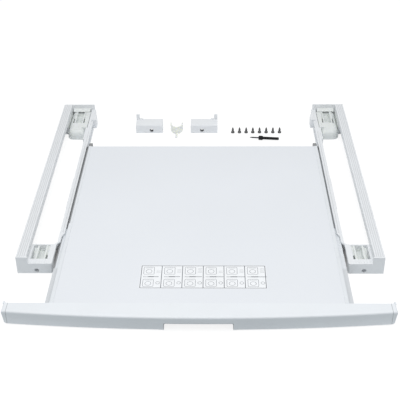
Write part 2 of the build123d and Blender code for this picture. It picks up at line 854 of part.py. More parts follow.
def slope_ends():
    """Cuts the two ends of the fascia's form to their slope."""
    for side in (-1, 1):
        with BuildSketch(Plane.XZ.offset(-fascia_front_y + overrun)) as wedge:
            with BuildLine():
                Polyline(
                    (side * half_fascia, shelf_height), (side * (half_fascia + overrun), shelf_height),
                    (side * (half_fascia + overrun), fascia_ground),
                    (side * (half_fascia - cap_draft), fascia_ground), close=True,
                )
            make_face()
        extrude(wedge.sketch, amount=-(fascia_depth + cap_tip + 2 * overrun), mode=Mode.SUBTRACT)


shell_x = half_fascia - cap_width
fascia_under = shelf_height - fascia_wall
with BuildPart() as fascia:
    extrude(
        Plane.XY.offset(fascia_ground) * bowed_plan(shell_x, 0, board_front_y),
        amount=shelf_height - fascia_ground,
    )
    bows = fascia.edges().filter_by(GeomType.CIRCLE).sort_by(Axis.Z)
    fillet(bows[-1], radius=fascia_top_radius)
    fillet(fascia.edges().group_by(Axis.Z)[0].sort_by(Axis.Y)[0], radius=fascia_foot_radius)
    extrude(
        Plane.XY.offset(fascia_ground - overrun)
        * bowed_plan(half_fascia, fascia_wall, board_front_y - fascia_wall),
        amount=fascia_under - fascia_ground + overrun, mode=Mode.SUBTRACT,
    )
    slab(
        (-half_fascia, half_fascia),
        (board_front_y - fascia_wall - thin, board_front_y + overrun),
        (fascia_ground - overrun, shelf_height - fascia_back_height), mode=Mode.SUBTRACT,
    )
    slab(
        (-half_flange, half_flange),
        (board_front_y - thin, board_front_y + fascia_flange_reach), (ledge_under, board_under),
    )
    shelf_screws(fascia_rows, thread_gap, Mode.SUBTRACT)
    for index in range(fascia_rib_count):
        share = (index + 1) / (fascia_rib_count + 1)
        place = notch_width / 2 + share * (shell_x - notch_width / 2)
        for side in (-1, 1):
            slab(
                (side * place - fascia_rib_wall / 2, side * place + fascia_rib_wall / 2),
                (bow_y(place) + fascia_wall / 2, board_front_y - fascia_wall / 2),
                (fascia_under - fascia_rib_height, fascia_under + thin),
            )
    with BuildSketch(Plane.XZ.offset(-fascia_front_y + overrun)) as notch:
        with BuildLine():
            Polyline(
                (-notch_width / 2, fascia_ground - overrun),
                (-notch_width / 2, fascia_ground),
                (notch_flare - notch_width / 2, fascia_ground + notch_height),
                (notch_width / 2 - notch_flare, fascia_ground + notch_height),
                (notch_width / 2, fascia_ground),
                (notch_width / 2, fascia_ground - overrun), close=True,
            )
        make_face()
        fillet(notch.vertices().group_by(Axis.Y)[-1], radius=notch_corner_radius)
    extrude(notch.sketch, amount=-(fascia_wall + 2 * overrun), mode=Mode.SUBTRACT)
    notch_edges = fascia.edges().filter_by_position(
        Axis.Z, fascia_ground + notch_height - thin, fascia_ground + notch_height + thin)
    fillet(notch_edges.sort_by(Axis.Y)[0], radius=notch_edge_radius)
save("fascia", fascia)

# End caps, with a thin tip that reaches back and a plug that holds them in the fascia
with BuildPart() as end_cap:
    extrude(
        Plane.XY.offset(fascia_ground) * bowed_plan(half_fascia, 0, board_front_y),
        amount=shelf_height - fascia_ground,
    )
    slope_ends()
    fillet(end_cap.edges().filter_by(Axis.Y).group_by(Axis.Z)[0], radius=cap_corner_radius)
    corners = end_cap.edges().filter_by_position(
        Axis.Z, fascia_ground + cap_corner_radius, shelf_height - fascia_top_radius)
    fillet(corners.group_by(Axis.Y)[0], radius=cap_edge_radius)
    top_arcs = end_cap.edges().group_by(Axis.Z)[-1].filter_by(GeomType.CIRCLE)
    fillet(top_arcs, radius=fascia_top_radius)
    slab(
        (-half_fascia - overrun, shell_x), (fascia_front_y - overrun, board_front_y + overrun),
        (fascia_ground - overrun, shelf_height + overrun), mode=Mode.SUBTRACT,
    )
    slab(
        (half_fascia - cap_tip_wall, half_fascia),
        (board_front_y - thin, board_front_y + cap_tip),
        (shelf_height - cap_tip_height, shelf_height),
    )
    slope_ends()
    slab(
        (shell_x - cap_plug, shell_x + thin),
        (bow_y(shell_x) + fascia_wall + cap_plug_gap, board_front_y - fascia_wall - cap_plug_gap),
        (fascia_under - cap_plug_gap - cap_plug_wall, fascia_under - cap_plug_gap),
    )
save_pair("end_cap", end_cap)

# Blank label plate, let into the board so that its top is flush
with BuildPart() as label_plate:
    extrude(label_outline(label_under), amount=label_thickness)
save("label_plate", label_plate)

# Loose brackets: moulded angles with a tab at their outer back corner
loose_y = from_front(loose_row)
bracket_back_y = loose_y + bracket_depth


def save_bracket(name, middle_x, hand):
    """A bracket whose tab stands on its right (hand 1) or left (hand -1) side."""
    low_x, high_x = middle_x - bracket_width / 2, middle_x + bracket_width / 2
    side_x = middle_x + hand * bracket_width / 2
    hole_x = middle_x - hand * bracket_hole_offset
    top_under = bracket_height - bracket_wall
    with BuildPart() as bracket:
        slab((low_x, high_x), (loose_y, bracket_back_y), (0, bracket_height))
        fillet(
            bracket.edges().filter_by(Axis.X).group_by(Axis.Z)[-1].sort_by(Axis.Y)[0],
            radius=bracket_edge_radius,
        )
        slab(
            (low_x + bracket_cheek, high_x - bracket_cheek),
            (loose_y + bracket_wall, bracket_back_y + overrun), (-overrun, top_under),
            mode=Mode.SUBTRACT,
        )
        inner_edges = bracket.edges().filter_by(Axis.X).filter_by_position(
            Axis.Z, top_under - seat_gap, top_under + seat_gap)
        fillet(inner_edges.sort_by(Axis.Y)[0], radius=bracket_edge_radius - bracket_wall)
        # The cheeks rise towards the back
        cheek_y = loose_y + bracket_cheek_share * bracket_depth
        with BuildSketch(Plane.YZ.offset(low_x - overrun)) as slope:
            with BuildLine():
                Polyline(
                    (cheek_y, -overrun), (cheek_y, 0), (bracket_back_y, top_under),
                    (bracket_back_y + overrun, top_under), (bracket_back_y + overrun, -overrun),
                    close=True,
                )
            make_face()
        extrude(slope.sketch, amount=bracket_width + 2 * overrun, mode=Mode.SUBTRACT)
        # Boss behind the screw hole, the recess and the hole
        with Locations(Plane((hole_x, loose_y, bracket_hole_height), x_dir=(1, 0, 0), z_dir=(0, -1, 0))):
            Cylinder(
                bracket_boss_radius, bracket_wall + bracket_boss_length,
                align=(Align.CENTER, Align.CENTER, Align.MAX),
            )
            CounterBoreHole(
                radius=bracket_screw_radius, counter_bore_radius=bracket_hole_radius,
                counter_bore_depth=bracket_recess_depth, depth=bracket_depth,
            )
        # Upright tab and the step beside it
        tab_y = (bracket_back_y - bracket_tab_depth, bracket_back_y)
        tab_x = side_x - hand * bracket_tab_width
        slab((side_x, tab_x), tab_y, (top_under, bracket_height + bracket_tab_height))
        slab(
            (tab_x + hand * thin, tab_x - hand * bracket_step_width), tab_y,
            (top_under, bracket_height + bracket_step_height),
        )
    save(name, bracket)


save_bracket("left_bracket", left_bracket_x, -1)
save_bracket("right_bracket", right_bracket_x, 1)

# Spacer clip: a prow-shaped shell with two prongs behind it and a stem in front
spacer_front_y = loose_y - spacer_lead
spacer_mid_y = spacer_front_y + spacer_radius


def prow(radius, back, height):
    """Half of a round in plan, drawn to a blunt edge in front, with straight legs behind."""
    shoulder = spacer_prow_share * radius
    with BuildSketch(Plane((spacer_x, spacer_mid_y, height))) as outline:
        with BuildLine():
            ThreePointArc((-radius, 0), (-shoulder, -shoulder), (0, -radius))
            ThreePointArc((0, -radius), (shoulder, -shoulder), (radius, 0))
            Polyline((radius, 0), (radius, back), (-radius, back), (-radius, 0))
        make_face()
    return outline.sketch


def clip_form(radius, back, height, foot_radius):
    """The clip's plan outline raised to its full height, with its lower corners rounded."""
    with BuildPart() as form:
        extrude(prow(radius, back, height), amount=spacer_prong_height)
        with BuildSketch(Plane.XZ.offset(-spacer_mid_y - spacer_radius)) as front:
            with Locations((spacer_x, height + spacer_prong_height / 2)):
                Rectangle(2 * radius, spacer_prong_height)
            fillet(front.vertices().group_by(Axis.Y)[0], radius=foot_radius)
        extrude(front.sketch, amount=3 * spacer_radius, mode=Mode.INTERSECT)
    return form.part


clip_shell = clip_form(spacer_radius, spacer_leg, 0, spacer_foot_radius)
clip_hollow = clip_form(
    spacer_radius - spacer_wall, spacer_leg + overrun, spacer_floor,
    spacer_foot_radius - spacer_wall,
)
with BuildPart() as spacer_clip:
    add(clip_shell)
    add(clip_hollow, mode=Mode.SUBTRACT)
    # The prongs stand between a round-cornered gap, and slope back towards their tips
    prong_x = spacer_radius - spacer_wall
    with BuildSketch(Plane.XZ.offset(-spacer_mid_y - spacer_radius)) as gap:
        with Locations((spacer_x, (spacer_height + spacer_prong_height + overrun) / 2)):
            Rectangle(2 * prong_x, spacer_prong_height + overrun - spacer_height)
        fillet(gap.vertices().group_by(Axis.Y)[0], radius=spacer_crotch_radius)
    extrude(gap.sketch, amount=3 * spacer_radius, mode=Mode.SUBTRACT)
    with BuildSketch(Plane.YZ.offset(spacer_x - spacer_radius - overrun)) as slope:
        with BuildLine():
            leg_y = spacer_mid_y + spacer_leg
            Polyline(
                (spacer_mid_y - spacer_radius - overrun, spacer_height),
                (leg_y - spacer_prong_width - spacer_leg, spacer_height),
                (leg_y - spacer_prong_width, spacer_height + spacer_crotch_radius),
                (leg_y - spacer_prong_tip, spacer_prong_height + overrun),
                (spacer_mid_y - spacer_radius - overrun, spacer_prong_height + overrun),
                close=True,
            )
        make_face()
    extrude(slope.sketch, amount=2 * (spacer_radius + overrun), mode=Mode.SUBTRACT)
    stem_length = spacer_stem_length + spacer_foot_radius
    with BuildSketch() as stem:
        with Locations((spacer_x, spacer_front_y + spacer_foot_radius - stem_length / 2)):
            RectangleRounded(spacer_stem_width, stem_length, spacer_stem_radius)
    extrude(stem.sketch, amount=spacer_stem_height)
save("spacer_clip", spacer_clip)

# Screws of the kit, standing on their flat heads
screw_middle_x = screw_first_x + (screw_count - 1) * screw_pitch / 2
upwards = (Align.CENTER, Align.CENTER, Align.MIN)
with BuildPart() as mounting_screws:
    with Locations((screw_middle_x, loose_y + screw_lag, 0)):
        with GridLocations(screw_pitch, 0, screw_count, 1):
            Cylinder(screw_head_radius, screw_head_rim, align=upwards)
            with Locations((0, 0, screw_head_rim)):
                Cone(screw_head_radius, screw_radius, screw_head - screw_head_rim, align=upwards)
            Cylinder(screw_radius, screw_length - screw_tip, align=upwards)
            with Locations((0, 0, screw_length - screw_tip)):
                Cone(screw_radius, screw_point_radius, screw_tip, align=upwards)
            for turn in (0, 90):
                with Locations(Location((0, 0, screw_slot_depth), (0, 0, turn))):
                    Box(
                        screw_slot_length, screw_slot_width, 2 * screw_slot_depth,
                        align=(Align.CENTER, Align.CENTER, Align.MAX), mode=Mode.SUBTRACT,
                    )
save("mounting_screws", mounting_screws)

# Driver: it lies on its collar and on the end of its handle, so its shaft points up a little
driver_contact = driver_handle_length - driver_handle_end + driver_collar_edge
driver_tilt = atan((driver_collar_radius - driver_handle_radius) / driver_contact)
driver_end = driver_shaft_length + driver_collar_length + driver_handle_length
driver_tip_z = (
    (driver_end - driver_handle_end) * sin(driver_tilt)
    + driver_handle_radius * cos(driver_tilt)
)
driver_yaw = radians(driver_turn)
driver_plane = Plane(
    (driver_x, loose_y - driver_lead, driver_tip_z),
    x_dir=(-sin(driver_yaw), cos(driver_yaw), 0),
    z_dir=(
        cos(driver_yaw) * cos(driver_tilt), sin(driver_yaw) * cos(driver_tilt),
        -sin(driver_tilt),
    ),
)
shaft_end = driver_shaft_length + driver_socket
with BuildPart() as driver_shaft:
    with Locations(driver_plane):
        Cylinder(driver_shaft_radius, shaft_end, align=upwards)
        for side in (-1, 1):
            with Locations((side * (driver_tip_wall / 2 + driver_shaft_radius), 0, -overrun)):
                Box(
                    2 * driver_shaft_radius, 3 * driver_shaft_radius,
                    driver_tip_length + overrun, align=upwards, mode=Mode.SUBTRACT,
                )
save("driver_shaft", driver_shaft)

with BuildPart() as driver_handle:
    with Locations(driver_plane):
        with Locations((0, 0, driver_shaft_length)):
            Cylinder(driver_collar_radius, driver_collar_length, align=upwards)
            Cylinder(
                driver_handle_radius, driver_collar_length + driver_handle_length, align=upwards,
            )
    rims = driver_handle.edges().filter_by(GeomType.CIRCLE)
    fillet(rims.filter_by(lambda rim: rim.radius > driver_handle_radius), radius=driver_collar_edge)
    rims = driver_handle.edges().filter_by(GeomType.CIRCLE)
    fillet(rims.sort_by(Axis.X)[-1], radius=driver_handle_end)
    with Locations(driver_plane):
        Cylinder(
            driver_shaft_radius + thread_gap, shaft_end + thread_gap, align=upwards,
            mode=Mode.SUBTRACT,
        )
save("driver_handle", driver_handle)
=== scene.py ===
"""Washer dryer stacking kit: finish of its two side frames, pull-out shelf and loose parts.

A piece that stands for a node rides on the body of that node. The studio holds a pale floor,
soft light and the camera. +Z is up, and the shelf is drawn out towards -Y.
"""

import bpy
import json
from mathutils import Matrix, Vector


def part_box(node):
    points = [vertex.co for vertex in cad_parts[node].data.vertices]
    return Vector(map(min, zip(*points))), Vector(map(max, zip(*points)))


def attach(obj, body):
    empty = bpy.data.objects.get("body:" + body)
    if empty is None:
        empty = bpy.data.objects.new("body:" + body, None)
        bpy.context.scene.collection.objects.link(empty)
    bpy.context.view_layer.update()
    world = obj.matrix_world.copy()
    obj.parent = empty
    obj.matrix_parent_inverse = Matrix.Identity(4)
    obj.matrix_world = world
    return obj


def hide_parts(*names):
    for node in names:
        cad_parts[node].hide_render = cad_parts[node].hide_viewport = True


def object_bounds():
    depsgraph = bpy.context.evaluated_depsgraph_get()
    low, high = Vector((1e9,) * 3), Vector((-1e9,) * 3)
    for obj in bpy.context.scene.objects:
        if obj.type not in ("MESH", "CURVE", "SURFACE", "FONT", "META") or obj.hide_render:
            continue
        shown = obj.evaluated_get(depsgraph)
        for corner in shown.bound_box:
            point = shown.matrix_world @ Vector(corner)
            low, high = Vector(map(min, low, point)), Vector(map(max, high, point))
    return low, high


bl_info = {
    "name": "Stacking kit finish",
    "version": (1, 0, 0),
    "blender": (4, 5, 0),
    "location": "View3D > Sidebar > Stacking kit",
    "description": "Models and finishes the pieces of a washer dryer stacking kit",
    "category": "Object",
}

import json
from math import atan, cos, pi, radians, sin, sqrt

import bmesh
import bpy
from bpy.props import FloatProperty, FloatVectorProperty, IntProperty
from mathutils import Matrix, Vector

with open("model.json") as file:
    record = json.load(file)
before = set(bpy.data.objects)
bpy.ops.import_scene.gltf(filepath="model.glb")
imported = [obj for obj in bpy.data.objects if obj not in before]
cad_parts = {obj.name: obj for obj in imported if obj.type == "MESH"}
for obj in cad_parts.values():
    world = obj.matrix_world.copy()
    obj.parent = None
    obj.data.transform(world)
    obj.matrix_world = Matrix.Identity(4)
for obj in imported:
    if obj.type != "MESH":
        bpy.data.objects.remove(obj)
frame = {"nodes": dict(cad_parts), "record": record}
cad_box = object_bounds()

SIDES = ("left", "right")
SIDE_SIGNS = (("left", -1), ("right", 1))
MM = 0.001
SMALL = 1e-6


# Settings that a user may change, each kind made in one way

def length_prop(name, description, default, least=0.0):
    """A length, which Blender shows in the scene's unit."""
    return FloatProperty(
        name=name, description=description, default=default, min=least, unit="LENGTH")


def angle_prop(name, description, default):
    """An angle, which Blender shows in degrees."""
    return FloatProperty(name=name, description=description, default=default, subtype="ANGLE")


def share_prop(name, description, default):
    """A share between none and all."""
    return FloatProperty(
        name=name, description=description, default=default, min=0, max=1, subtype="FACTOR")


def colour_prop(name, description, default):
    """A colour, given by its linear red, green and blue."""
    return FloatVectorProperty(
        name=name, description=description, default=default, min=0, max=1, subtype="COLOR")


class KitSizes(bpy.types.PropertyGroup):
    edge_round: length_prop(
        "Edge rounding", "Radius on the edges of the large mouldings", 0.5 * MM, 0.1 * MM)
    fine_round: length_prop(
        "Fine rounding", "Radius on the edges of inserts and small parts", 0.25 * MM, 0.05 * MM)
    sharp_angle: angle_prop(
        "Sharp angle", "Edges that turn by more than this are rounded", radians(35))
    thread_pitch: length_prop(
        "Thread pitch", "Climb of the screws' threads in one turn", 1.1 * MM, 0.3 * MM)
    thread_depth: length_prop(
        "Thread depth", "How far a thread stands out of its core", 0.35 * MM, 0.05 * MM)
    print_line: length_prop(
        "Printed line", "Width of the thin lines on the label", 0.55 * MM, 0.1 * MM)
    print_depth: length_prop(
        "Ink thickness", "How far the ink stands over the label's film", 0.03 * MM, 0.01 * MM)
    print_cells: IntProperty(
        name="Label cells", description="How many equal cells the label is ruled into",
        default=6, min=1, max=12)
    glide_strip: length_prop(
        "Glide strip", "Width of the glides' top beside the board", 6 * MM, 1 * MM)
    # These set painted shade on the glides in the channels, and where it gives way to the flanges'
    # darker grey in front of the blocks.
    unshaded_flange: length_prop(
        "Clean flange", "Part of the glides' flanges without grease at the blocks", 7.2 * MM)
    less_shade_right: length_prop(
        "Cleaner right", "How much less far grease reaches on the right glide", 2 * MM)
    channel_shade_fade: length_prop(
        "Grease fade", "Length behind the front blocks over which grease spreads", 8 * MM)
    shade_front_reach: length_prop(
        "Wear start", "From the front blocks to where the glides show clean wear", 4 * MM)
    shade_front_fade: length_prop(
        "Wear fade", "Length over which grease turns into clean wear", 6 * MM)
    channel_shade_edge: length_prop(
        "Greased edge", "How far grease comes up the glides beside the rails", 1.8 * MM)
    channel_wall: length_prop(
        "Channel wall", "Between the front blocks' channel sides and the rails'",
        0.8 * MM, 0.1 * MM)
    groove_depth: length_prop(
        "Groove depth", "How deep the grooves along the rails lie", 0.5 * MM, 0.1 * MM)
    # Painted shade on the grooves' floors.
    groove_shade: share_prop(
        "Groove shade", "Tone of the grooves' floors, as a share of the ridges'", 0.84)
    recess_radius: length_prop("Recess radius", "Of the brackets' screw recesses", 4 * MM, 1 * MM)
    # Painted shade inside the brackets' recesses.
    recess_shade: share_prop(
        "Recess shade", "Tone inside the recesses, as a share of the face's", 0.28)
    # Painted shade on the front blocks' channel sides: where it starts, over what length it sets
    # in, and its tone.
    mouth_shade_start: length_prop(
        "Mouth grime", "How far back from the blocks' fronts grime starts", 12 * MM)
    mouth_fade: length_prop(
        "Mouth fade", "Length over which that grime sets in", 18 * MM)
    mouth_shade: share_prop("Mouth shade", "Tone of the blocks' grimy channel sides", 0.15)
    notch_top: length_prop(
        "Notch top", "Height of the finger notch's upper edge over the floor", 13.4 * MM)
    notch_half: length_prop("Half notch", "Half of the finger notch's width", 52 * MM)
    # Painted shade along the finger notch's upper edge: its width and tone.
    notch_shade_width: length_prop(
        "Notch line", "Width of the grey line along the notch's edge", 1.1 * MM, 0.1 * MM)
    notch_shade: share_prop("Notch shade", "Tone of that line, as a share of the fascia's", 0.45)
    # Painted shade in the seam between the fascia and its caps: its width and tone.
    seam_line: length_prop(
        "Seam line", "Width of the dark seam between the fascia and its caps", 0.8 * MM, 0.1 * MM)
    seam_shade: share_prop("Seam shade", "Tone of that seam, as a share of the fascia's", 0.6)
    flute_count: IntProperty(
        name="Handle flutes", description="Grooves round the driver's handle",
        default=8, min=3, max=16)


class KitColours(bpy.types.PropertyGroup):
    frame_plastic: colour_prop(
        "Frame plastic", "Rails, end blocks and brackets", (0.85, 0.87, 0.89))
    insert_plastic: colour_prop("Insert plastic", "Foot seats and foot cups", (0.80, 0.83, 0.82))
    glide_plastic: colour_prop(
        "Glide plastic", "Extruded strips beside the shelf", (0.80, 0.83, 0.86))
    # A darker grey on the glides' flanges in front of the blocks, and painted shade on the glides
    # in the channels.
    flange_grey: colour_prop(
        "Worn glide", "Flanges of the glides, outside the channels", (0.68, 0.70, 0.72))
    channel_shade: colour_prop(
        "Greased glide", "Glides where they lie in the channels", (0.31, 0.32, 0.33))
    fascia_plastic: colour_prop(
        "Fascia plastic", "Front of the shelf and its end caps", (0.85, 0.88, 0.91))
    board_laminate: colour_prop("Board", "Melamine face of the shelf", (0.825, 0.85, 0.885))
    label_film: colour_prop("Label film", "Ground of the label", (0.93, 0.95, 0.97))
    label_ink: colour_prop("Label ink", "Thin lines on the label", (0.10, 0.105, 0.12))
    clip_plastic: colour_prop("Clip plastic", "Translucent spacer clip", (0.88, 0.90, 0.85))
    grip_rubber: colour_prop("Grip rubber", "Pads under the end blocks", (0.05, 0.05, 0.055))
    black_plastic: colour_prop("Black plastic", "Driver's handle", (0.009, 0.009, 0.01))
    clip_grey: colour_prop(
        "Stop clips", "Dark plastic of the shelf's stop clips", (0.26, 0.265, 0.27))
    zinc: colour_prop("Zinc", "Plated screws", (0.13, 0.133, 0.135))
    dark_steel: colour_prop("Dark steel", "Driver's shaft", (0.05, 0.05, 0.055))


class StudioSettings(bpy.types.PropertyGroup):
    """Camera, floor and light of the studio"""

    camera_place: FloatVectorProperty(
        name="Camera place", description="Where the camera stands",
        default=(0.02303, -1.29502, 0.86153), subtype="TRANSLATION")
    camera_pitch: angle_prop("Camera pitch", "How far the camera looks down", radians(33.30))
    camera_yaw: angle_prop("Camera yaw", "How far the camera looks to the left", radians(1.133))
    camera_roll: angle_prop("Camera roll", "How far the camera leans", radians(-0.605))
    camera_lens: FloatProperty(
        name="Focal length", description="Of a camera with a 36 mm sensor, in millimetres",
        default=76.28, min=10)
    sky_level: FloatProperty(
        name="Sky level", description="Even light from all round, as a share of white",
        default=0.60, min=0)
    key_level: FloatProperty(
        name="Key level", description="Light of the large soft lamp below it, as a share of white",
        default=0.55, min=0)
    key_place: FloatVectorProperty(
        name="Key place", description="Where the large soft lamp hangs",
        default=(0.0, -0.45, 1.5), subtype="TRANSLATION")
    key_size: length_prop("Key size", "Side of the large soft lamp", 1.6, 0.1)
    sky_colour: colour_prop(
        "Sky colour", "Tone of the even light from all round", (0.97, 0.985, 1.0))
    floor_seen: colour_prop(
        "Floor", "Colour of the floor where it is seen, under its glow", (0.26, 0.26, 0.26))
    floor_return: colour_prop(
        "Floor return", "Light that the floor throws back on the kit", (0.66, 0.70, 0.72))
    front_return: colour_prop(
        "Front return", "Light that the floor throws back in front of the kit", (0.26, 0.31, 0.33))
    rear_return: colour_prop(
        "Rear return", "Light that the floor throws back behind the shelf", (0.95, 0.97, 1.0))
    floor_glow: share_prop("Floor glow", "Whiteness that the floor keeps in a shadow", 0.84)


def sizes():
    return bpy.context.scene.kit_sizes


def colours():
    return bpy.context.scene.kit_colours


# Shader trees, and the groups that several finishes share

NOISE_BAND = (0.35, 0.65)
COARSE_SCALE = 0.17
COARSE_HEIGHT = 0.6
LINE_STRETCH = 0.004
PATCH_BAND = (0.3, 0.7)
RUB_BAND = (0.68, 0.76)
RUB_STRETCH = 0.05
RUB_SLANT = radians(31)
PEBBLE_SMOOTHNESS = 0.6
SWAY_SCALE = 0.4


class Tree:
    """Adds and joins the nodes of one node tree."""

    def __init__(self, tree):
        self.tree = tree

    def add(self, kind, **settings):
        """A new node with some of its settings."""
        node = self.tree.nodes.new(kind)
        for name, value in settings.items():
            setattr(node, name, value)
        return node

    def join(self, start, end):
        """Links one node's output to another's input."""
        self.tree.links.new(start, end)

    def feed(self, socket, source):
        """Sets a socket to a number or joins it to another socket."""
        if isinstance(source, bpy.types.NodeSocket):
            self.join(source, socket)
        else:
            socket.default_value = source

    def place(self):
        """Where a shaded point lies."""
        return self.add("ShaderNodeTexCoord").outputs["Object"]

    def axes(self):
        """Where a shaded point lies, by its three axes."""
        node = self.add("ShaderNodeSeparateXYZ")
        self.join(self.place(), node.inputs["Vector"])
        return node.outputs

    def mapped(self, vector, **settings):
        """A place turned or stretched by a Mapping node's settings."""
        node = self.add("ShaderNodeMapping")
        for name, value in settings.items():
            node.inputs[name].default_value = value
        self.join(vector, node.inputs["Vector"])
        return node.outputs["Vector"]

    def noise(self, vector, scale, detail, roughness=0.5):
        """Soft noise at a place, of so many waves per metre."""
        node = self.add("ShaderNodeTexNoise")
        node.inputs["Detail"].default_value = detail
        node.inputs["Roughness"].default_value = roughness
        self.feed(node.inputs["Scale"], scale)
        self.join(vector, node.inputs["Vector"])
        return node.outputs["Fac"]

    def maths(self, operation, *values):
        """What a Math node makes of some numbers or sockets."""
        node = self.add("ShaderNodeMath", operation=operation)
        for socket, value in zip(node.inputs, values):
            self.feed(socket, value)
        return node.outputs["Value"]

    def spread(self, value, low, high, to_low=0.0, to_high=1.0):
        """Maps a value from one range to another, held within it."""
        node = self.add("ShaderNodeMapRange", clamp=True)
        for name, number in (("From Min", low), ("From Max", high), ("To Min", to_low),
                             ("To Max", to_high)):
            self.feed(node.inputs[name], number)
        self.join(value, node.inputs["Value"])
        return node.outputs["Result"]

    def overlay(self, socket, mask, colour, blend_type="MIX"):
        """Lays a colour over what feeds a socket, where a mask lies."""
        mix = self.add("ShaderNodeMix", data_type="RGBA", blend_type=blend_type)
        self.join(mask, mix.inputs["Factor"])
        self.join(socket.links[0].from_socket, mix.inputs["A"])
        mix.inputs["B"].default_value = (*colour, 1.0)
        self.join(mix.outputs["Result"], socket)


def moulded_grain(tree, given, out):
    """Fine satin grain of a mould, and the faint flow of the plastic."""
    place = tree.place()
    fine = tree.noise(place, given["Grain per metre"], detail=3)
    wide = tree.maths("MULTIPLY", given["Grain per metre"], COARSE_SCALE)
    coarse = tree.maths("MULTIPLY", tree.noise(place, wide, detail=1), COARSE_HEIGHT)
    tree.feed(out["Height"], tree.maths("ADD", fine, coarse))
    flow = tree.noise(place, given["Flow per metre"], detail=2)
    tree.feed(out["Flow"], tree.spread(flow, *NOISE_BAND))


def drawn_lines(tree, given, out):
    """Fine lines along Y, as an extruded or drawn surface has."""
    along = tree.mapped(tree.place(), Scale=(1.0, LINE_STRETCH, 1.0))
    tree.feed(out["Height"], tree.noise(along, given["Lines per metre"], detail=2))


def handling_marks(tree, given, out):
    """Soft patches and a few short rubs, where hands and packing have touched the surface."""
    place = tree.place()
    patches = tree.noise(place, given["Patches per metre"], detail=3, roughness=0.6)
    tree.feed(out["Patches"], tree.spread(patches, *PATCH_BAND))
    slanted = tree.mapped(place, Rotation=(0.0, 0.0, RUB_SLANT), Scale=(1.0, RUB_STRETCH, 1.0))
    rubs = tree.noise(slanted, given["Rubs per metre"], detail=1)
    tree.feed(out["Rubs"], tree.spread(rubs, *RUB_BAND))


def pearl_face(tree, given, out):
    """Pearl texture of a melamine face: small soft pebbles of uneven size."""
    place = tree.place()
    cells = tree.add("ShaderNodeTexVoronoi", feature="SMOOTH_F1")
    cells.inputs["Smoothness"].default_value = PEBBLE_SMOOTHNESS
    tree.feed(cells.inputs["Scale"], given["Pebbles per metre"])
    tree.join(place, cells.inputs["Vector"])
    wide = tree.maths("MULTIPLY", given["Pebbles per metre"], SWAY_SCALE)
    sway = tree.noise(place, wide, detail=2)
    tree.feed(out["Height"], tree.maths("ADD", cells.outputs["Distance"], sway))


def place_group(tree, build, inputs, outputs):
    """Places a shader group, which is built once, with this material's own values."""
    name = build.__name__.replace("_", " ")
    group = bpy.data.node_groups.get(name)
    if group is None:
        group = bpy.data.node_groups.new(name, "ShaderNodeTree")
        for way, labels in (("INPUT", inputs), ("OUTPUT", outputs)):
            for label in labels:
                group.interface.new_socket(label, in_out=way, socket_type="NodeSocketFloat")
        inner = Tree(group)
        build(inner, inner.add("NodeGroupInput").outputs, inner.add("NodeGroupOutput").inputs)
    node = tree.add("ShaderNodeGroup")
    node.node_tree = group
    for label, value in inputs.items():
        node.inputs[label].default_value = value
    return node.outputs


def grain(tree, per_metre, flow=14.0):
    """The height of a moulded grain, and the flow in its colour."""
    return place_group(tree, moulded_grain,
                       {"Grain per metre": per_metre, "Flow per metre": flow},
                       ("Height", "Flow"))


def marks(tree, patches=7.0, rubs=55.0):
    """Where a surface has been touched, in soft patches and short rubs."""
    return place_group(tree, handling_marks,
                       {"Patches per metre": patches, "Rubs per metre": rubs},
                       ("Patches", "Rubs"))


# Finishes: each fills in the material that is named after it

PLASTIC_IOR = 1.49
FLOW_TONE = 0.975
FLOW_WARMTH = 0.004
DRAWN_LINES_PER_METRE = 1700.0
PATCH_ROUGHNESS = (-0.04, 0.05)
RUB_POLISH = 0.05
SCUFF_ROUGHNESS = 0.04
METAL_WARMTH = 0.02
RECESS_EDGE = (1.02, 1.12)
GROOVE_REACH = 0.3
SHADE_LINE_BLUR = 0.3


def tinted(tree, shader, mask, colour, other, socket="Base Color"):
    """Varies a shader's colour between two shades with a mask."""
    mix = tree.add("ShaderNodeMix", data_type="RGBA")
    mix.inputs["A"].default_value = (*colour, 1.0)
    mix.inputs["B"].default_value = (*other, 1.0)
    tree.join(mask, mix.inputs["Factor"])
    tree.join(mix.outputs["Result"], shader.inputs[socket])


def toned(tree, shader, mask, colour, factor, warm=0.0):
    """Varies a shader's colour with a mask, to a darker or lighter form, warmer if asked."""
    red, green, blue = (channel * factor for channel in colour)
    other = (min(1.0, red * (1 + warm)), min(1.0, green), min(1.0, blue * (1 - warm)))
    tinted(tree, shader, mask, colour, other)


def darken(tree, shader, mask, factor):
    """Multiplies a shader's colour by a grey where a mask lies."""
    tree.overlay(shader.inputs["Base Color"], mask, (factor, factor, factor), "MULTIPLY")


def uneven_gloss(tree, shader, mask, smooth, rough):
    """Varies a shader's roughness between two values with a mask."""
    tree.feed(shader.inputs["Roughness"], tree.spread(mask, 0.0, 1.0, smooth, rough))


def bumped(tree, shader, height, depth):
    """Gives a shader a bump of a real depth, in metres."""
    bump = tree.add("ShaderNodeBump")
    bump.inputs["Distance"].default_value = depth
    tree.join(height, bump.inputs["Height"])
    tree.join(bump.outputs["Normal"], shader.inputs["Normal"])


def translucent(shader, weight, blue, depth):
    """Lets light into a plastic, a little less of the blue."""
    shader.inputs["Subsurface Weight"].default_value = weight
    shader.inputs["Subsurface Radius"].default_value = (1.0, 1.0, blue)
    shader.inputs["Subsurface Scale"].default_value = depth


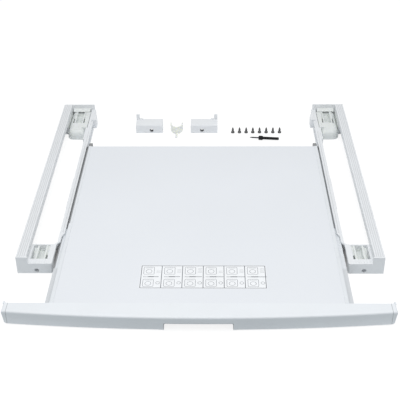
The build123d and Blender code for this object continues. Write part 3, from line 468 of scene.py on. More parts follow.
def satin_plastic(tree, shader, colour, roughness, per_metre, depth, line_share=0.0):
    """Moulded plastic with a fine grain, or an extruded one whose lines run along Y."""
    texture, touched = grain(tree, per_metre), marks(tree)
    height = texture["Height"]
    if line_share:
        lines = place_group(
            tree, drawn_lines, {"Lines per metre": DRAWN_LINES_PER_METRE}, ("Height",))
        drawn = tree.maths("MULTIPLY", lines["Height"], line_share)
        height = tree.maths("ADD", height, drawn)
    toned(tree, shader, texture["Flow"], colour, FLOW_TONE, FLOW_WARMTH)
    smooth, rough = (roughness + change for change in PATCH_ROUGHNESS)
    patches = tree.spread(touched["Patches"], 0.0, 1.0, smooth, rough)
    polish = tree.maths("MULTIPLY", touched["Rubs"], RUB_POLISH)
    tree.feed(shader.inputs["Roughness"], tree.maths("SUBTRACT", patches, polish))
    shader.inputs["IOR"].default_value = PLASTIC_IOR
    bumped(tree, shader, height, depth)


def worn_metal(tree, shader, colour, tone, per_metre, flow, patches, roughness):
    """Metal of an uneven tone, whose gloss changes between two roughnesses."""
    texture, touched = grain(tree, per_metre, flow), marks(tree, patches)
    toned(tree, shader, texture["Flow"], colour, tone, METAL_WARMTH)
    shader.inputs["Metallic"].default_value = 1.0
    uneven_gloss(tree, shader, touched["Patches"], *roughness)
    bumped(tree, shader, texture["Height"], depth=0.01 * MM)


def frame_plastic(tree, shader):
    """Satin plastic of the end blocks."""
    satin_plastic(tree, shader, colours().frame_plastic, roughness=0.42, per_metre=2200.0,
                  depth=0.02 * MM)


def block_plastic(tree, shader):
    """Frame plastic, with painted shade on the sides that the front blocks turn to the glides,
    below the flanges.
    """
    frame_plastic(tree, shader)
    axes, wall = tree.axes(), sizes().channel_wall
    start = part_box("left_front_block")[0].y + sizes().mouth_shade_start
    channel_x = -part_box("left_inner_rail")[0].x - wall
    face = tree.maths("COMPARE", tree.maths("ABSOLUTE", axes["X"]), channel_x, wall / 2)
    back = tree.spread(axes["Y"], start, start + sizes().mouth_fade)
    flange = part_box("shelf_panel")[0].z
    low = tree.spread(axes["Z"], flange - wall, flange, 1.0, 0.0)
    mask = tree.maths("MULTIPLY", tree.maths("MULTIPLY", face, back), low)
    # Painted shade on the channel sides, behind the blocks' fronts and below the flanges.
    darken(tree, shader, mask, sizes().mouth_shade)


def bracket_plastic(tree, shader):
    """Frame plastic, with painted shade inside the recesses of the screw holes."""
    frame_plastic(tree, shader)
    place, radius = tree.place(), sizes().recess_radius
    mask = 0.0
    for side in SIDES:
        hole = mount(side + "_bracket_hole")
        hole.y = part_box("left_bracket")[0].y + radius
        reach = tree.add("ShaderNodeVectorMath", operation="DISTANCE")
        tree.join(place, reach.inputs[0])
        reach.inputs[1].default_value = hole
        start, end = (share * radius for share in RECESS_EDGE)
        near = tree.spread(reach.outputs["Value"], start, end, 1.0, 0.0)
        mask = tree.maths("MAXIMUM", near, mask)
    darken(tree, shader, mask, sizes().recess_shade)


def rail_plastic(tree, shader):
    """Frame plastic whose groove floors are painted a little darker than the ridges beside them,
    as painted shade.
    """
    satin_plastic(tree, shader, colours().frame_plastic, roughness=0.40, per_metre=2600.0,
                  depth=0.012 * MM, line_share=0.8)
    height, depth = tree.axes()["Z"], sizes().groove_depth
    reach, mask = GROOVE_REACH * depth, 0.0
    for node in ("left_outer_rail", "left_inner_rail"):
        floor = tree.maths("COMPARE", height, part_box(node)[1].z - depth, reach)
        mask = tree.maths("MAXIMUM", floor, mask)
    darken(tree, shader, mask, sizes().groove_shade)


def insert_plastic(tree, shader):
    """Slightly milky plastic of the foot seats and cups."""
    satin_plastic(tree, shader, colours().insert_plastic, roughness=0.34, per_metre=1600.0,
                  depth=0.015 * MM)
    translucent(shader, weight=0.25, blue=0.9, depth=2 * MM)


def glide_plastic(tree, shader):
    """Extruded plastic, a darker grey on its flanges in front of the blocks, with painted shade
    where it runs in the channels.
    """
    satin_plastic(tree, shader, colours().glide_plastic, roughness=0.36, per_metre=2400.0,
                  depth=0.012 * MM, line_share=0.8)
    axes, blur = tree.axes(), 0.1 * MM
    side = tree.maths("ABSOLUTE", axes["X"])
    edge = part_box("shelf_panel")[1].x + sizes().glide_strip
    mouth, rail = (corner.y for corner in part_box("left_front_block"))
    shade_front = mouth - sizes().shade_front_reach
    outside = tree.spread(axes["Y"], shade_front - sizes().shade_front_fade, shade_front, 1.0, 0.0)
    beside = tree.spread(side, edge - blur, edge + 2 * blur)
    start = tree.spread(axes["Y"], rail - sizes().channel_shade_fade, rail,
                        edge + sizes().unshaded_flange, edge - sizes().channel_shade_edge)
    right = tree.spread(axes["X"], -blur, blur, 0.0, sizes().less_shade_right)
    beyond = tree.maths("SUBTRACT", side, tree.maths("ADD", start, right))
    reached = tree.spread(beyond, -blur, 2 * blur)
    inside = tree.maths("SUBTRACT", 1.0, outside)
    # A darker grey on the flanges in front of the blocks; painted shade on the glides in the
    # channels.
    for mask, colour in (
        (tree.maths("MULTIPLY", beside, outside), colours().flange_grey),
        (tree.maths("MULTIPLY", reached, inside), colours().channel_shade),
    ):
        tree.overlay(shader.inputs["Base Color"], mask, colour)


def fascia_plastic(tree, shader):
    """Smooth plastic, with a line of painted shade along the finger notch's upper edge and painted
    shade in the seam to the end caps.
    """
    satin_plastic(tree, shader, colours().fascia_plastic, roughness=0.38, per_metre=2800.0,
                  depth=0.012 * MM)
    axes, line = tree.axes(), sizes().notch_shade_width
    side = tree.maths("ABSOLUTE", axes["X"])
    edge, half = sizes().notch_top, sizes().notch_half
    inner = tree.spread(side, half, half + line, 1.0, 0.0)
    soft = SHADE_LINE_BLUR * line
    low = tree.spread(axes["Z"], edge + line - soft, edge + line, 1.0, 0.0)
    # Painted shade along the notch's upper edge.
    darken(tree, shader, tree.maths("MULTIPLY", inner, low), sizes().notch_shade)
    # Painted shade in the seam to the end caps.
    seam = tree.maths("COMPARE", side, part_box("fascia")[1].x, sizes().seam_line / 2)
    darken(tree, shader, seam, sizes().seam_shade)


def edging(tree, shader):
    """Edging strip in the board's tone."""
    satin_plastic(tree, shader, colours().board_laminate, roughness=0.45, per_metre=1500.0,
                  depth=0.02 * MM)


def black_plastic(tree, shader):
    """Dull black plastic of the driver's handle."""
    satin_plastic(tree, shader, colours().black_plastic, roughness=0.5, per_metre=2600.0,
                  depth=0.03 * MM)
    shader.inputs["Specular IOR Level"].default_value = 0.15


def clip_grey(tree, shader):
    """Dull dark plastic of the stop clips."""
    satin_plastic(tree, shader, colours().clip_grey, roughness=0.5, per_metre=2600.0,
                  depth=0.03 * MM)


def board_laminate(tree, shader):
    """Melamine with a fine pearl face, a faint cloudiness and a hard clear skin."""
    pebbles = place_group(tree, pearl_face, {"Pebbles per metre": 900.0}, ("Height",))
    cloud, touched = grain(tree, per_metre=3000.0, flow=5.0), marks(tree, patches=4.0, rubs=30.0)
    toned(tree, shader, cloud["Flow"], colours().board_laminate, factor=0.985)
    rough = tree.spread(touched["Patches"], 0.0, 1.0, to_low=0.36, to_high=0.44)
    scuffs = tree.maths("MULTIPLY", touched["Rubs"], SCUFF_ROUGHNESS)
    tree.feed(shader.inputs["Roughness"], tree.maths("ADD", rough, scuffs))
    bumped(tree, shader, pebbles["Height"], depth=0.02 * MM)


def label_film(tree, shader):
    """Smooth film with a faint clear coat."""
    satin_plastic(tree, shader, colours().label_film, roughness=0.42, per_metre=3500.0,
                  depth=0.006 * MM)
    shader.inputs["Coat Weight"].default_value = 0.15


def label_ink(tree, shader):
    """Thin grey ink, a little uneven in how much it covers."""
    texture = grain(tree, per_metre=5000.0, flow=900.0)
    toned(tree, shader, texture["Flow"], colours().label_ink, factor=1.35)
    rough = tree.spread(texture["Height"], low=0.6, high=1.0, to_low=0.5, to_high=0.65)
    tree.feed(shader.inputs["Roughness"], rough)


def clip_plastic(tree, shader):
    """Milky plastic that lets some light through."""
    satin_plastic(tree, shader, colours().clip_plastic, roughness=0.33, per_metre=1400.0,
                  depth=0.015 * MM)
    translucent(shader, weight=0.6, blue=0.8, depth=3 * MM)


def grip_rubber(tree, shader):
    """Dull rubber with a close, uneven grain."""
    texture, touched = grain(tree, per_metre=1300.0, flow=60.0), marks(tree, patches=25.0)
    toned(tree, shader, touched["Patches"], colours().grip_rubber, factor=1.5)
    uneven_gloss(tree, shader, texture["Flow"], smooth=0.72, rough=0.85)
    bumped(tree, shader, texture["Height"], depth=0.08 * MM)


def zinc_steel(tree, shader):
    """Bright zinc plating, slightly blotched and dulled."""
    worn_metal(tree, shader, colours().zinc, tone=0.8, per_metre=1800.0, flow=700.0,
               patches=260.0, roughness=(0.26, 0.42))


def dark_steel(tree, shader):
    """Blackened tool steel with fine marks of drawing."""
    worn_metal(tree, shader, colours().dark_steel, tone=1.3, per_metre=2400.0, flow=400.0,
               patches=180.0, roughness=(0.32, 0.46))


def finish(fill_in):
    """The material that a finish function fills in, made once."""
    name = fill_in.__name__ + "_finish"
    material = bpy.data.materials.get(name)
    if material is None:
        material = bpy.data.materials.new(name)
        material.use_nodes = True
        fill_in(Tree(material.node_tree), material.node_tree.nodes["Principled BSDF"])
    return material


# Modelling: selections, copies of nodes and turned shapes

BEVEL_ROOM = 2.4
WALL_ROUND = 0.25 * MM
RECESS_TAPER = 0.55


def pick(*pieces):
    """Selects only these pieces, with the first one active."""
    bpy.ops.object.select_all(action="DESELECT")
    for piece in pieces:
        piece.select_set(True)
    bpy.context.view_layer.objects.active = pieces[0]


def edit(piece, action="DESELECT"):
    """Opens a piece for editing, with nothing in it selected, or with SELECT all of it."""
    pick(piece)
    bpy.ops.object.mode_set(mode="EDIT")
    bpy.ops.mesh.select_all(action=action)


def select_where(piece, wanted):
    """Selects the vertices of the piece in edit mode whose places are wanted, and no others."""
    bpy.ops.mesh.select_all(action="DESELECT")
    shape = bmesh.from_edit_mesh(piece.data)
    for vertex in shape.verts:
        vertex.select = wanted(vertex.co)
    shape.select_flush(True)
    bmesh.update_edit_mesh(piece.data)


def leave_edit():
    """Closes the piece in edit mode."""
    bpy.ops.object.mode_set(mode="OBJECT")


def face_outwards():
    """Turns the faces of the piece in edit mode outwards, and leaves edit mode."""
    bpy.ops.mesh.select_all(action="SELECT")
    bpy.ops.mesh.normals_make_consistent(inside=False)
    leave_edit()


def apply_modifier(piece, kind, **settings):
    """Adds a modifier with its settings to a piece, and applies it."""
    pick(piece)
    modifier = piece.modifiers.new(kind.lower(), kind)
    for name, value in settings.items():
        setattr(modifier, name, value)
    bpy.ops.object.modifier_apply(modifier=modifier.name)


def mount(name):
    return next(Vector(entry["pos_m"]) for entry in frame["record"]["mounts"]
                if entry["name"] == name)


def middle_of(node):
    """The middle of a node's box."""
    low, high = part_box(node)
    return (low + high) / 2


def evenly(low, high, count):
    """Places from one to another, both included."""
    return [low + (high - low) * index / (count - 1) for index in range(count)]


def new_piece(name, mesh):
    """A piece at the origin, with the given mesh."""
    mesh.name = name
    piece = bpy.data.objects.new(name, mesh)
    bpy.context.scene.collection.objects.link(piece)
    return piece


def copy_of_node(node, name, cuts=()):
    """A copy of a node's mesh as a piece of its own, its doubles merged and its flats whole.

    A cut, given by an axis and a place on it, parts the flats that it crosses, so that none of
    them runs all round a hole.
    """
    piece = new_piece(name, frame["nodes"][node].data.copy())
    edit(piece, "SELECT")
    bpy.ops.mesh.remove_doubles(threshold=SMALL)
    bpy.ops.mesh.customdata_custom_splitnormals_clear()
    for axis, place in cuts:
        normal = Vector([float(letter == axis) for letter in "xyz"])
        bpy.ops.mesh.select_all(action="SELECT")
        bpy.ops.mesh.bisect(plane_co=place * normal, plane_no=normal, threshold=SMALL)
        bpy.ops.mesh.mark_seam()
    bpy.ops.mesh.select_all(action="SELECT")
    bpy.ops.mesh.dissolve_limited(angle_limit=radians(0.3), delimit={"SEAM"})
    leave_edit()
    return piece


def has_room(edge, width):
    """Whether both faces beside an edge are wide enough for a rounding."""
    room = BEVEL_ROOM * width * edge.calc_length()
    return all(face.calc_area() > room for face in edge.link_faces)


def round_sharp_edges(piece, width, wanted=None):
    """Rounds the sharp edges that have room for it; wanted may pick among them by their middle."""
    edit(piece)
    bpy.ops.mesh.select_mode(type="EDGE")
    bpy.ops.mesh.edges_select_sharp(sharpness=sizes().sharp_angle)
    shape = bmesh.from_edit_mesh(piece.data)
    weights = shape.edges.layers.float.new("bevel_weight_edge")
    for edge in shape.edges:
        middle = (edge.verts[0].co + edge.verts[1].co) / 2
        if edge.select and has_room(edge, width) and (wanted is None or wanted(middle)):
            edge[weights] = 1.0
    bmesh.update_edit_mesh(piece.data)
    leave_edit()
    apply_modifier(
        piece, "BEVEL", width=width, segments=2, limit_method="WEIGHT",
        use_clamp_overlap=False, miter_outer="MITER_ARC",
    )


def shade_evenly(piece):
    """Smooth shading that keeps the flats flat and the sharp edges sharp."""
    pick(piece)
    bpy.ops.object.shade_smooth_by_angle(angle=radians(40))
    apply_modifier(piece, "WEIGHTED_NORMAL", keep_sharp=True)


def fit_out(piece, body, slot, fill_in, *nodes):
    """Gives a piece its finish and body, and hides the nodes that it stands for; the record slot
    is not used.
    """
    piece.data.materials.clear()
    piece.data.materials.append(finish(fill_in))
    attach(piece, body)
    if nodes:
        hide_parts(*nodes)


def rounded_node(node, width, body, slot, fill_in, wanted=None, cuts=()):
    """A copy of a node with rounded edges, which stands for it."""
    piece = copy_of_node(node, node + "_piece", cuts)
    round_sharp_edges(piece, width, wanted)
    shade_evenly(piece)
    fit_out(piece, body, slot, fill_in, node)


def finish_node(node, fill_in):
    """Gives a node that stays as it is a finished material."""
    mesh = frame["nodes"][node].data
    mesh.materials.clear()
    mesh.materials.append(finish(fill_in))


def place_by(piece, matrix):
    """Moves a finished piece's mesh to its place, with its object left at the origin."""
    piece.data.transform(matrix)
    piece.data.update()


def settle(piece):
    """Puts a new object's own place into its mesh."""
    pick(piece)
    bpy.ops.object.transform_apply(location=True, rotation=True, scale=True)


def add_primitive(add, name="primitive", scale=(1, 1, 1), **settings):
    """A primitive from one of Blender's add operators, with its place in its mesh."""
    bpy.ops.object.select_all(action="DESELECT")
    add(**settings)
    piece = bpy.context.object
    piece.name = piece.data.name = name
    piece.scale = scale
    settle(piece)
    return piece


def turned(name, profile, sides):
    """A closed shape turned about the Z axis, from its lowest ring to its highest."""
    radius, height = profile[0]
    piece = add_primitive(bpy.ops.mesh.primitive_circle_add, name, vertices=sides, radius=radius,
                          fill_type="NGON", location=(0, 0, height))
    edit(piece, "SELECT")
    for next_radius, next_height in profile[1:]:
        bpy.ops.mesh.extrude_region_move(
            TRANSFORM_OT_translate={"value": (0, 0, next_height - height)})
        share = next_radius / radius
        bpy.ops.transform.resize(value=(share, share, 1), center_override=(0, 0, next_height))
        radius, height = next_radius, next_height
    face_outwards()
    return piece


def block(name, low, high):
    """A wall between two corners, with softened edges."""
    low, high = Vector(low), Vector(high)
    piece = add_primitive(bpy.ops.mesh.primitive_cube_add, name, high - low, size=1,
                          location=(low + high) / 2)
    edit(piece, "SELECT")
    bpy.ops.mesh.bevel(offset=WALL_ROUND, segments=2)
    leave_edit()
    return piece


def joined(name, *pieces):
    """Several pieces as one."""
    pick(*pieces)
    bpy.ops.object.join()
    piece = bpy.context.object
    piece.name = piece.data.name = name
    return piece


def copy_at(piece, name, matrix):
    """A copy of a piece with a mesh of its own, moved by a matrix."""
    other = new_piece(name, piece.data.copy())
    place_by(other, matrix)
    return other


# Screws: a turned core with a cross recess in its head, and a thread wound round it

KIT_SCREW_HEAD = 3.75 * MM
SHELF_SCREW_HEAD = 3.5 * MM


def thread(core_radius, low, high):
    """A closed helical ridge round the Z axis."""
    pitch, depth = sizes().thread_pitch, sizes().thread_depth
    piece = add_primitive(
        bpy.ops.mesh.primitive_circle_add, vertices=3, radius=depth,
        location=(core_radius + depth / 3, 0, low + pitch / 2),
        rotation=(radians(90), radians(90), 0))
    apply_modifier(
        piece, "SCREW", axis="Z", angle=2 * pi, screw_offset=pitch, steps=16, render_steps=16,
        iterations=max(1, int((high - low - pitch) / pitch)),
    )
    edit(piece, "SELECT")
    bpy.ops.mesh.remove_doubles(threshold=SMALL)
    bpy.ops.mesh.fill_holes(sides=3)
    face_outwards()
    return piece


def recess_cutters(reach, width, depth):
    """The two arms of a cross for cutting a screw's recess, tapering as they go in."""
    arms = []
    for turn in (0, 90):
        arm = add_primitive(
            bpy.ops.mesh.primitive_cube_add, scale=(2 * reach, width, 2 * depth), size=1,
            location=(0, 0, 0), rotation=(0, 0, radians(turn)))
        edit(arm)
        select_where(arm, lambda place: place.z > 0)
        bpy.ops.transform.resize(
            value=(RECESS_TAPER, RECESS_TAPER, 1), center_override=(0, 0, depth))
        leave_edit()
        arms.append(arm)
    return arms


def model_screw(name, profile, recess, thread_span, core_radius):
    """A screw that points up, with the outside of its head at the bottom."""
    core = turned(name, profile, 28)
    for cutter in recess_cutters(*recess):
        apply_modifier(core, "BOOLEAN", object=cutter, operation="DIFFERENCE", solver="EXACT")
        bpy.data.objects.remove(cutter)
    screw = joined(name, core, thread(core_radius, *thread_span))
    shade_evenly(screw)
    return screw


def kit_screw():
    core, length, tip = 1.9 * MM, 12.6 * MM, 3.6 * MM
    profile = (
        (3.45 * MM, 0), (KIT_SCREW_HEAD, 0.25 * MM), (KIT_SCREW_HEAD, 1.8 * MM),
        (3.4 * MM, 2.8 * MM), (2.4 * MM, 4.0 * MM), (core, 4.6 * MM), (core, length - tip),
        (1.0 * MM, length - 0.9 * MM), (0.35 * MM, length),
    )
    recess = (2.1 * MM, 0.95 * MM, 1.1 * MM)
    return model_screw("kit_screw", profile, recess, (4.2 * MM, length - tip), core)


def shelf_screw():
    """Pan-headed screw under the shelf: 7 mm head, 10.5 mm long."""
    core, length, tip = 1.4 * MM, 10.5 * MM, 1.5 * MM
    profile = (
        (2.6 * MM, 0), (3.2 * MM, 0.25 * MM), (SHELF_SCREW_HEAD, 0.8 * MM),
        (SHELF_SCREW_HEAD, 1.8 * MM), (core, 1.8 * MM), (core, length - tip), (0.3 * MM, length),
    )
    recess = (1.9 * MM, 0.9 * MM, 1.0 * MM)
    return model_screw("shelf_screw", profile, recess, (1.9 * MM, length - tip), core)


def rail_screw():
    """Small countersunk screw of the inner rails: 5.6 mm head, 5.6 mm long."""
    core, length, tip = 1.15 * MM, 5.6 * MM, 1.0 * MM
    profile = (
        (2.65 * MM, 0), (2.75 * MM, 0.1 * MM), (core, 1.6 * MM), (core, length - tip),
        (0.3 * MM, length),
    )
    recess = (1.5 * MM, 0.7 * MM, 0.8 * MM)
    return model_screw("rail_screw", profile, recess, (1.6 * MM, length - tip), core)


def set_screws(name, places, pattern, body, node, first=1):
    """Sets a copy of a screw at each place, given by a matrix; together they stand for a node."""
    for number, place in enumerate(places, first):
        screw = copy_at(pattern, f"{name}_{number}", place)
        fit_out(screw, body, "zinc_steel", zinc_steel, node)


# Operators: one for each piece or group of like pieces

class KIT_OT_side_rails(bpy.types.Operator):
    """Fluted outer rails and the channels that the shelf slides in"""

    bl_idname = "kit.side_rails"
    bl_label = "Side rails"

    def execute(self, context):
        for side in SIDES:
            for rail, width in (("_outer_rail", sizes().edge_round),
                                ("_inner_rail", sizes().fine_round)):
                rounded_node(side + rail, width, "frames", "frame_plastic", rail_plastic)
        return {"FINISHED"}


class KIT_OT_end_blocks(bpy.types.Operator):
    """End blocks of the side frames"""

    bl_idname = "kit.end_blocks"
    bl_label = "End blocks"

    hole_spacing: length_prop("Hole spacing", "Between the two front screw holes", 534 * MM)
    lip: length_prop("Front lip", "Depth of the front blocks' raised lip", 13.4 * MM)
    tenon: length_prop("Tenon", "How far a rail's end reaches into its block", 34 * MM)
    stop: length_prop("Rear stop", "From the rear end to the shelf's stop", 48 * MM)
    stop_notch: length_prop("Stop notch", "Length of the notch before the stop", 6 * MM)
    base: length_prop("Base", "Thickness of the rear blocks' base", 2.7 * MM)
    web: length_prop("Web", "Thickness of the web under the rail", 1.5 * MM)
    web_width: length_prop("Web width", "How far the web reaches under the rail", 15 * MM)
    web_start: length_prop("Web start", "From the rear end to the web", 74.7 * MM)

    def rail_web(self, side, sign):
        """The web that closes the rear block under the outer rail."""
        low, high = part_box(side + "_rear_block")
        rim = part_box(side + "_rear_foot_cup")[0 if sign < 0 else 1].x
        inner, outer = sorted((rim, rim + sign * self.web_width))
        front = high.y - self.web_start
        web = block(side + "_rail_web", (inner, front, low.z + self.base),
                    (outer, front + self.web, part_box(side + "_inner_rail")[1].z))
        fit_out(web, "frames", "frame_plastic", frame_plastic)

    def execute(self, context):
        for side, sign in SIDE_SIGNS:
            seat, rail = middle_of(side + "_front_foot_seat"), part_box(side + "_outer_rail")
            lip_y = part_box(side + "_front_block")[0].y + self.lip / 2
            cuts = [("x", seat.x), ("x", sign * self.hole_spacing / 2), ("y", seat.y),
                    ("y", lip_y), ("y", rail[0].y + self.tenon)]
            rounded_node(side + "_front_block", sizes().edge_round, "frames", "frame_plastic",
                         block_plastic, cuts=cuts)
            pad, screws = middle_of(side + "_rear_grip_pad"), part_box(side + "_rail_screws")
            head = (screws[1].z - screws[0].z) / 2
            stop_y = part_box(side + "_rear_block")[1].y - self.stop
            cuts = [("x", pad.x), ("y", screws[0].y + head), ("y", screws[1].y - head),
                    ("y", rail[1].y - self.tenon), ("y", stop_y), ("y", stop_y - self.stop_notch)]
            rounded_node(side + "_rear_block", sizes().edge_round, "frames", "frame_plastic",
                         frame_plastic, cuts=cuts)
            self.rail_web(side, sign)
        return {"FINISHED"}


class KIT_OT_foot_inserts(bpy.types.Operator):
    """Seats and cups that take the dryer's feet"""

    bl_idname = "kit.foot_inserts"
    bl_label = "Foot inserts"

    floor: length_prop("Floor", "Thickness of the inserts' floors", 1.5 * MM)
    seat_drop: length_prop("Seat drop", "Fins of the seats over what fills their slots", 0.7 * MM)
    cup_drop: length_prop("Cup drop", "Fins of the cups over what fills their slots", 1.1 * MM)
    wide_slot: length_prop("Wide slot", "Width of the seats' outer slots", 6.4 * MM)
    slot: length_prop("Narrow slot", "Width of the seats' inner slots", 3.2 * MM)
    cup_slot: length_prop("Cup slot", "Width of the cups' slots", 2.5 * MM)
    open_part: length_prop("Open part", "Length of a seat's slot that stays open", 14 * MM)
    cup_open: length_prop("Open cup part", "Length of a cup's slot that stays open", 22.4 * MM)
    cup_middle: length_prop("Cup middle", "From the kit's middle to a cup's pocket", 262 * MM)
    cup_half: length_prop("Half cup pocket", "Half of a cup's pocket, across the kit", 12 * MM)
    cup_pocket: length_prop("Cup pocket", "Length of a cup's pocket", 52 * MM)
    cup_start: length_prop("Cup pocket start", "From a cup's nose to its pocket", 37 * MM)
    rim: length_prop("Rim", "Width of a cup's rim towards the rail", 0.75 * MM)
    rim_start: length_prop("Rim start", "From a cup's nose to that rim", 24 * MM)
    rim_lift: length_prop("Rim lift", "How far that rim stands over the cup", 0.5 * MM)
    back_inset: length_prop("Back inset", "Between a cup's sides and its back rim's", 2 * MM)
    back_depth: length_prop("Back depth", "Depth of a cup's sloping back rim", 7.4 * MM)
    back_edge: length_prop("Back edge", "How far the back rim reaches down", 0.6 * MM)
    back_rise: length_prop("Back rise", "How far the back rim rises behind the cup", 5 * MM)
    ramp_height: share_prop("Ramp height", "At the back, as a share of the slot's depth", 0.75)
    ramp_drop: share_prop("Ramp drop", "To the front, as a share of the slot's depth", 0.7)
    fill_drop: share_prop("Fill drop", "Of the other fills, as a share of that depth", 0.1)

    def fill(self, name, low, high, drop):
        """Fills part of a slot beside a fin, its top sloping down by a drop to the front."""
        piece = block(name, low, high)
        middle_z = (low[2] + high[2]) / 2
        for vertex in piece.data.vertices:
            if vertex.co.z > middle_z:
                vertex.co.z -= drop * (high[1] - vertex.co.y) / (high[1] - low[1])
        shade_evenly(piece)
        fit_out(piece, "frames", "insert_plastic", insert_plastic)

    def fill_seat(self, side, sign):
        """A ramp in the seat's outer slot and an almost level fill in its inner one.

        Gives back the height of the inserts' floors and how far an almost level fill drops.
        """
        low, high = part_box(side + "_front_foot_seat")
        floor, top = low.z + self.floor, high.z - self.seat_drop
        depth = top - floor
        outer, inner = (low.x, high.x) if sign < 0 else (high.x, low.x)
        wide = sorted((outer, outer - sign * self.wide_slot))
        self.fill(side + "_seat_ramp", (wide[0], low.y + self.open_part / 2, floor),
                  (wide[1], high.y, floor + self.ramp_height * depth), self.ramp_drop * depth)
        narrow = sorted((inner, inner + sign * self.slot))
        self.fill(side + "_seat_fill", (narrow[0], low.y + self.open_part, floor),
                  (narrow[1], high.y, top), self.fill_drop * depth)
        return floor, self.fill_drop * depth

    def fill_cup(self, side, sign, floor, drop):
        """Fills in the cup's slots, a rim beside it and a sloping rim behind it."""
        low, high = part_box(side + "_rear_foot_cup")
        start, clearance = low.y + self.cup_start, 0.1 * MM
        end = start + self.cup_pocket - clearance
        for name, way in SIDE_SIGNS:
            wall = sign * self.cup_middle + way * self.cup_half
            span = sorted((wall, wall - way * self.cup_slot))
            self.fill(f"{side}_cup_{name}_fill", (span[0], start + self.cup_open, floor),
                      (span[1], end, high.z - self.cup_drop), drop)
        edge = low.x if sign < 0 else high.x
        rim = sorted((edge, edge + sign * self.rim))
        self.fill(side + "_cup_rim", (rim[0], low.y + self.rim_start, floor),
                  (rim[1], high.y, high.z + self.rim_lift), 0.0)
        self.fill(side + "_cup_back",
                  (low.x + self.back_inset, high.y - self.back_depth, high.z - self.back_edge),
                  (high.x - self.back_inset, high.y, high.z + self.back_rise), self.back_rise)

    def execute(self, context):
        for side, sign in SIDE_SIGNS:
            rounded_node(side + "_front_foot_seat", sizes().fine_round, "frames",
                         "insert_plastic", insert_plastic)
            finish_node(side + "_rear_foot_cup", insert_plastic)
            self.fill_cup(side, sign, *self.fill_seat(side, sign))
        return {"FINISHED"}


class KIT_OT_grip_pads(bpy.types.Operator):
    """Rubber pads under the end blocks"""

    bl_idname = "kit.grip_pads"
    bl_label = "Grip pads"

    def execute(self, context):
        for side in SIDES:
            for end in ("front", "rear"):
                rounded_node(f"{side}_{end}_grip_pad", sizes().fine_round, "frames",
                             "grip_rubber", grip_rubber)
        return {"FINISHED"}


class KIT_OT_rail_screws(bpy.types.Operator):
    """Screws that hold the inner rails to the rear blocks"""

    bl_idname = "kit.rail_screws"
    bl_label = "Rail screws"

    def execute(self, context):
        pattern = rail_screw()
        for side, sign in SIDE_SIGNS:
            node = side + "_rail_screws"
            low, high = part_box(node)
            head, start_x = (high.z - low.z) / 2, low.x if sign > 0 else high.x
            turn = Matrix.Rotation(sign * pi / 2, 4, "Y")
            places = [Matrix.Translation((start_x, y, (low.z + high.z) / 2)) @ turn
                      for y in evenly(low.y + head, high.y - head, 2)]
            set_screws(side + "_rail_screw", places, pattern, "frames", node)
        bpy.data.objects.remove(pattern)
        return {"FINISHED"}


class KIT_OT_shelf_board(bpy.types.Operator):
    """Worktop board and the edging on its rear edge"""

    bl_idname = "kit.shelf_board"
    bl_label = "Shelf board"

    def execute(self, context):
        low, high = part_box("shelf_panel")
        inset = 10 * SMALL

        def outer_edge(middle):
            return any((middle.x < low.x + inset, middle.x > high.x - inset,
                        middle.y < low.y + inset, middle.y > high.y - inset))

        rounded_node("shelf_panel", sizes().fine_round, "shelf", "board_laminate",
                     board_laminate, wanted=outer_edge)
        rounded_node("rear_edge_strip", sizes().edge_round, "shelf", "edging", edging)
        return {"FINISHED"}


class KIT_OT_glides(bpy.types.Operator):
    """Extruded glides on both sides of the board"""

    bl_idname = "kit.glides"
    bl_label = "Glides"

    def execute(self, context):
        low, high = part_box("glide_screws")
        for side, x in zip(SIDES, (low.x + SHELF_SCREW_HEAD, high.x - SHELF_SCREW_HEAD)):
            rounded_node(side + "_glide", sizes().fine_round, "shelf", "glide_plastic",
                         glide_plastic, cuts=[("x", x)])
        return {"FINISHED"}


